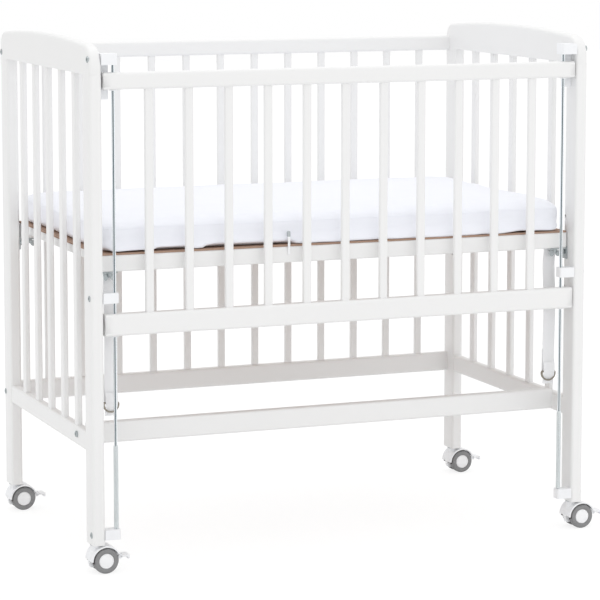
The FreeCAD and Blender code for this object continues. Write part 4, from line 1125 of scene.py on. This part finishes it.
class CRIB_OT_straps(bpy.types.Operator):
    """Make the webbing tie straps and finish their rings"""

    bl_idname = "crib.straps"
    bl_label = "Tie Straps"

    def execute(self, context):
        for side in SIDES:
            self.strap(side)
        polished("strap_rings", "ring", 60)
        return {"FINISHED"}

    def strap(self, side):
        sizes = context_sizes()
        low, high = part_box(f"{side}_strap")
        ring_low, ring_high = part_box("strap_rings")
        wall = sizes.strap_wall
        top = high.z
        middle = (low.y + high.y) / 2
        bar = ring_high.z - 1.4 * MM
        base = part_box("base_front_rail")[1].y + wall
        drop = top - bar

        def at(way, y):
            return Vector((0, y, top - drop * way))

        lean = (middle - base)
        front = [at(0.0, base), at(0.06, base), at(0.18, base + 0.5 * lean + 3 * MM),
                 at(0.36, base + lean * 0.5), at(0.55, base - 1.5 * MM), at(0.74, base),
                 at(0.9, base + lean * 0.6), at(0.985, middle - 2.6 * MM),
                 at(1.012, middle), at(0.985, middle + 2.6 * MM),
                 at(0.9, middle + 2.2 * MM), at(0.83, base + lean * 0.4 + 3.4 * MM)]
        bm = bmesh.new()
        ribbon(bm, curve_through(front), low.x, high.x, wall)
        second = [at(0.0, base + 1.5 * MM), at(0.07, base + 1.6 * MM),
                  at(0.18, base + 0.5 * lean + 4.6 * MM), at(0.36, base + lean * 0.5 + 1.5 * MM),
                  at(0.55, base), at(0.74, base + 1.5 * MM), at(0.8, base + 2 * MM)]
        ribbon(bm, curve_through(second), low.x + 0.6 * MM, high.x - 0.6 * MM, wall)
        tail = [at(0.93, middle - 3.6 * MM), at(0.99, middle - 5.2 * MM),
                at(1.03, middle - 3 * MM), at(1.06, middle), at(1.1, middle + 1 * MM)]
        ribbon(bm, curve_through(tail), low.x + 1 * MM, high.x - 1 * MM, wall)
        strap = from_bmesh(f"{side}_strap_finished", bm, "webbing", 60)
        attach(strap, "frame")
        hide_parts(f"{side}_strap")
        self.stitches(side, low, high, base - wall / 2, top)

    def stitches(self, side, low, high, face, top):
        """Two rows of stitches across the strap where it is sewn below the rail."""
        sizes = context_sizes()
        bm = bmesh.new()
        lathe(bm, [(-sizes.stitch / 2, 0), (-sizes.stitch / 3, 0.35 * MM),
                   (sizes.stitch / 3, 0.35 * MM), (sizes.stitch / 2, 0)],
              Vector((0, 0, 0)), "X", 6)
        pattern = from_bmesh("stitch_pattern", bm, "thread", 60)
        places = []
        count = int((high.x - low.x - 5 * MM) / (sizes.stitch * 1.5))
        rear = face + 2 * sizes.strap_wall + 1.9 * MM
        for level in (4 * MM, 9 * MM):
            for k in range(count):
                x = low.x + 3 * MM + k * sizes.stitch * 1.5
                places.append((Vector((x, rear, top - level)), Vector((1, 0, 0))))
        rows = repeated(f"{side}_strap_stitches", pattern, places, "thread", "frame")
        drop_pattern(pattern)


# ---------------------------------------------------------------- casters
class CRIB_OT_casters(bpy.types.Operator):
    """Finish the hoods, wheels and brake pedals of the four casters"""

    bl_idname = "crib.casters"
    bl_label = "Casters"

    def execute(self, context):
        sizes = context_sizes()
        for side, end in CORNERS:
            name = f"{side}_{end}"
            softened(f"{name}_hood", f"{name}_hood_finished", sizes.moulded_edge * 0.7,
                     "moulding")
            softened(f"{name}_pedal", f"{name}_pedal_finished", sizes.moulded_edge,
                     "moulding")
            polished(f"{name}_axle", "zinc")
            self.wheels(name)
            # a painted shade in the gap between the hood and the wheels
            self.recess(name)
        polished("caster_stems", "zinc")
        return {"FINISHED"}

    def recess(self, name):
        """Painted shade: a dark strip in the gap between the hood and each tyre, on the side off
        the pedal, standing in for the shadow there.
        """
        low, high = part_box(f"{name}_tyres")
        centre = (low + high) / 2
        radius = (high.z - low.z) / 2
        rim, clear, wide = 0.35 * MM, 0.5 * MM, 6 * MM
        inner, outer = radius + clear, radius + 1.75 * MM
        first, last, steps = math.radians(92), math.radians(188), 28
        bm = bmesh.new()
        for facing in (-1, 1):
            face = centre.y + facing * ((high.y - low.y) / 2 - rim)
            loops = []
            for k in range(steps + 1):
                turn = first + (last - first) * k / steps
                across = Vector((math.cos(turn), 0, math.sin(turn)))
                corners = []
                for reach, y in ((inner, face), (outer, face), (outer, face - facing * wide),
                                 (inner, face - facing * wide)):
                    place = centre + across * reach
                    corners.append(bm.verts.new((place.x, y, place.z)))
                loops.append(corners)
            bridged(bm, loops)
            bm.faces.new(loops[0])
            bm.faces.new(list(reversed(loops[-1])))
        edge = from_bmesh(f"{name}_hood_recess", bm, "recess", 30)
        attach(edge, f"{name}_caster")

    def wheels(self, name):
        low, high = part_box(f"{name}_tyres")
        core_low, core_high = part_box(f"{name}_wheel_cores")
        centre = (low + high) / 2
        radius = (high.z - low.z) / 2
        core = (core_high.z - core_low.z) / 2
        outer = (high.y - low.y) / 2
        wide = 14 * MM
        tyres = bmesh.new()
        caps = bmesh.new()
        for facing in (-1, 1):
            middle = centre.copy()
            face = facing * outer
            back = facing * (outer - wide)

            def at(share):
                return back + (face - back) * share

            round_step = 4.2 * MM
            profile = [(at(0.02), core), (at(0), core + 0.6 * MM), (at(0), radius - round_step)]
            for k in range(1, 6):
                turn = math.pi / 2 * k / 5
                profile.append((at(0) + facing * round_step * (1 - math.cos(turn)),
                                radius - round_step * (1 - math.sin(turn))))
            for k in range(6):
                turn = math.pi / 2 * k / 5
                profile.append((at(1) - facing * round_step * (1 - math.sin(turn)),
                                radius - round_step * (1 - math.cos(turn))))
            profile += [(at(1), core + 2.2 * MM), (at(1) - facing * 0.7 * MM, core + 0.9 * MM),
                        (at(1) - facing * 1.2 * MM, core)]
            ring_lathe(tyres, profile, middle, "Y", 72)
            cap = [(back, 2.6 * MM), (back, core - 0.4 * MM), (at(0.9), core - 0.1 * MM),
                   (face - facing * 0.9 * MM, core - 0.3 * MM), (face - facing * 0.2 * MM,
                   core - 1.1 * MM), (face, core - 2.2 * MM),
                   (face - facing * 0.5 * MM, core - 2.8 * MM),
                   (face - facing * 0.3 * MM, core - 3.6 * MM),
                   (face - facing * 0.1 * MM, core * 0.4), (face, 0)]
            lathe(caps, [(back, 0), *cap], middle, "Y", 64)
        tyre = from_bmesh(f"{name}_tyres_finished", tyres, "tread", 40)
        cap = from_bmesh(f"{name}_wheel_cores_finished", caps, "cap", 30)
        for obj, node in ((tyre, f"{name}_tyres"), (cap, f"{name}_wheel_cores")):
            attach(obj, f"{name}_wheels")
            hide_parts(node)


# ---------------------------------------------------------------- stage
CAMERA_PLACE = Vector((-1.81976, -4.56977, 1.15655))
CAMERA_YAW = math.radians(21.5383)
CAMERA_PITCH = math.radians(6.9962)
CAMERA_LENS = 158.409
CAMERA_SHIFT = (0.01377, -0.12)


class CRIB_OT_stage(bpy.types.Operator):
    """Make the floor, the lights and the camera"""

    bl_idname = "crib.stage"
    bl_label = "Stage"

    def execute(self, context):
        self.floor()
        self.world()
        self.lamps()
        self.camera()
        return {"FINISHED"}

    def seen_white(self, graph):
        """1 where a camera, glossy or transmission ray looks, 0 where light falls."""
        rays = graph.tree.nodes.new("ShaderNodeLightPath")
        camera = Wire(graph, rays.outputs["Is Camera Ray"])
        glossy = Wire(graph, rays.outputs["Is Glossy Ray"])
        through = Wire(graph, rays.outputs["Is Transmission Ray"])
        return (camera + glossy + through).clamped()

    def floor(self):
        bm = bmesh.new()
        reach = 14.0
        corners = [bm.verts.new((x, y, 0)) for x, y in
                   ((-reach, -reach), (reach, -reach), (reach, reach), (-reach, reach))]
        bm.faces.new(corners)
        floor = mesh_object("floor", kept_mesh("floor", bm))
        finish = Finish("floor_finish", bpy.context.scene.crib_colours.floor, Roughness=0.9)
        grain = finish.speckle(3.0, 2.0)
        finish.roughen(0.85 + grain * 0.1)
        glow = finish.tree.nodes.new("ShaderNodeEmission")
        mixed = finish.tree.nodes.new("ShaderNodeMixShader")
        glow_share, glow_strength = 0.72, 1.12
        finish.feed(mixed.inputs[0], self.seen_white(finish) * glow_share)
        finish.tree.links.new(finish.shader.outputs[0], mixed.inputs[1])
        finish.tree.links.new(glow.outputs[0], mixed.inputs[2])
        glow.inputs["Strength"].default_value = glow_strength
        output = finish.tree.nodes["Material Output"]
        finish.tree.links.new(mixed.outputs[0], output.inputs["Surface"])
        floor.data.materials.append(finish.material)

    def world(self):
        world = bpy.data.worlds.new("studio")
        bpy.context.scene.world = world
        world.use_nodes = True
        graph = Graph(world.node_tree)
        background = world.node_tree.nodes["Background"]
        background.inputs["Color"].default_value = (1, 1, 1, 1)
        seen = self.seen_white(graph)
        ambient = 0.97
        graph.feed(background.inputs["Strength"], seen * (1 - ambient) + ambient)

    def lamps(self):
        # name, place, size in metres, power in watts
        lamp_list = (("key", (0.8, -4.8, 1.6), 3.0, 9.0), ("fill", (3.0, -2.6, 0.7), 2.4, 4.0),
                     ("low", (-0.6, -4.4, 0.35), 1.8, 2.0), ("top", (0.2, 0.4, 3.6), 2.6, 15.0))
        target = Vector((0, 0, 0.5))
        for name, place, size, power in lamp_list:
            light = bpy.data.lights.new(name, "AREA")
            light.shape = "DISK"
            light.size = size
            light.energy = power
            lamp = bpy.data.objects.new(name, light)
            lamp.location = place
            lamp.rotation_euler = (target - Vector(place)).to_track_quat("-Z", "Y").to_euler()
            bpy.context.scene.collection.objects.link(lamp)

    def camera(self):
        data = bpy.data.cameras.new("camera")
        data.sensor_width = 36.0
        data.lens = CAMERA_LENS
        data.shift_x, data.shift_y = CAMERA_SHIFT
        data.clip_end = 100.0
        camera = bpy.data.objects.new("camera", data)
        camera.location = CAMERA_PLACE
        camera.rotation_euler = (math.pi / 2 - CAMERA_PITCH, 0, -CAMERA_YAW)
        bpy.context.scene.collection.objects.link(camera)
        bpy.context.scene.camera = camera
        bpy.context.scene.view_settings.view_transform = "Standard"


class CRIB_PT_panel(bpy.types.Panel):
    """The crib's pieces, in the order in which they are made"""

    bl_label = "Bedside Sleeper Crib"
    bl_idname = "CRIB_PT_panel"
    bl_space_type = "VIEW_3D"
    bl_region_type = "UI"
    bl_category = "Crib"

    def draw(self, context):
        layout = self.layout
        for operator in OPERATORS:
            layout.operator(operator.bl_idname)
        for group in (context.scene.crib_sizes, context.scene.crib_colours):
            box = layout.box()
            for name in group.bl_rna.properties.keys():
                if name not in ("name", "rna_type"):
                    box.prop(group, name)


OPERATORS = (CRIB_OT_finishes, CRIB_OT_stage, CRIB_OT_timber, CRIB_OT_slats, CRIB_OT_guides,
             CRIB_OT_fasteners, CRIB_OT_base, CRIB_OT_mattress, CRIB_OT_straps,
             CRIB_OT_casters)
CLASSES = (CribColours, CribSizes, *OPERATORS, CRIB_PT_panel)


def register():
    for entry in CLASSES:
        bpy.utils.register_class(entry)
    bpy.types.Scene.crib_colours = bpy.props.PointerProperty(type=CribColours)
    bpy.types.Scene.crib_sizes = bpy.props.PointerProperty(type=CribSizes)


def unregister():
    del bpy.types.Scene.crib_sizes
    del bpy.types.Scene.crib_colours
    for entry in reversed(CLASSES):
        bpy.utils.unregister_class(entry)


def main():
    register()
    for operator in OPERATORS:
        group, name = operator.bl_idname.split(".")
        getattr(getattr(bpy.ops, group), name)()


if __name__ == "__main__":
    main()
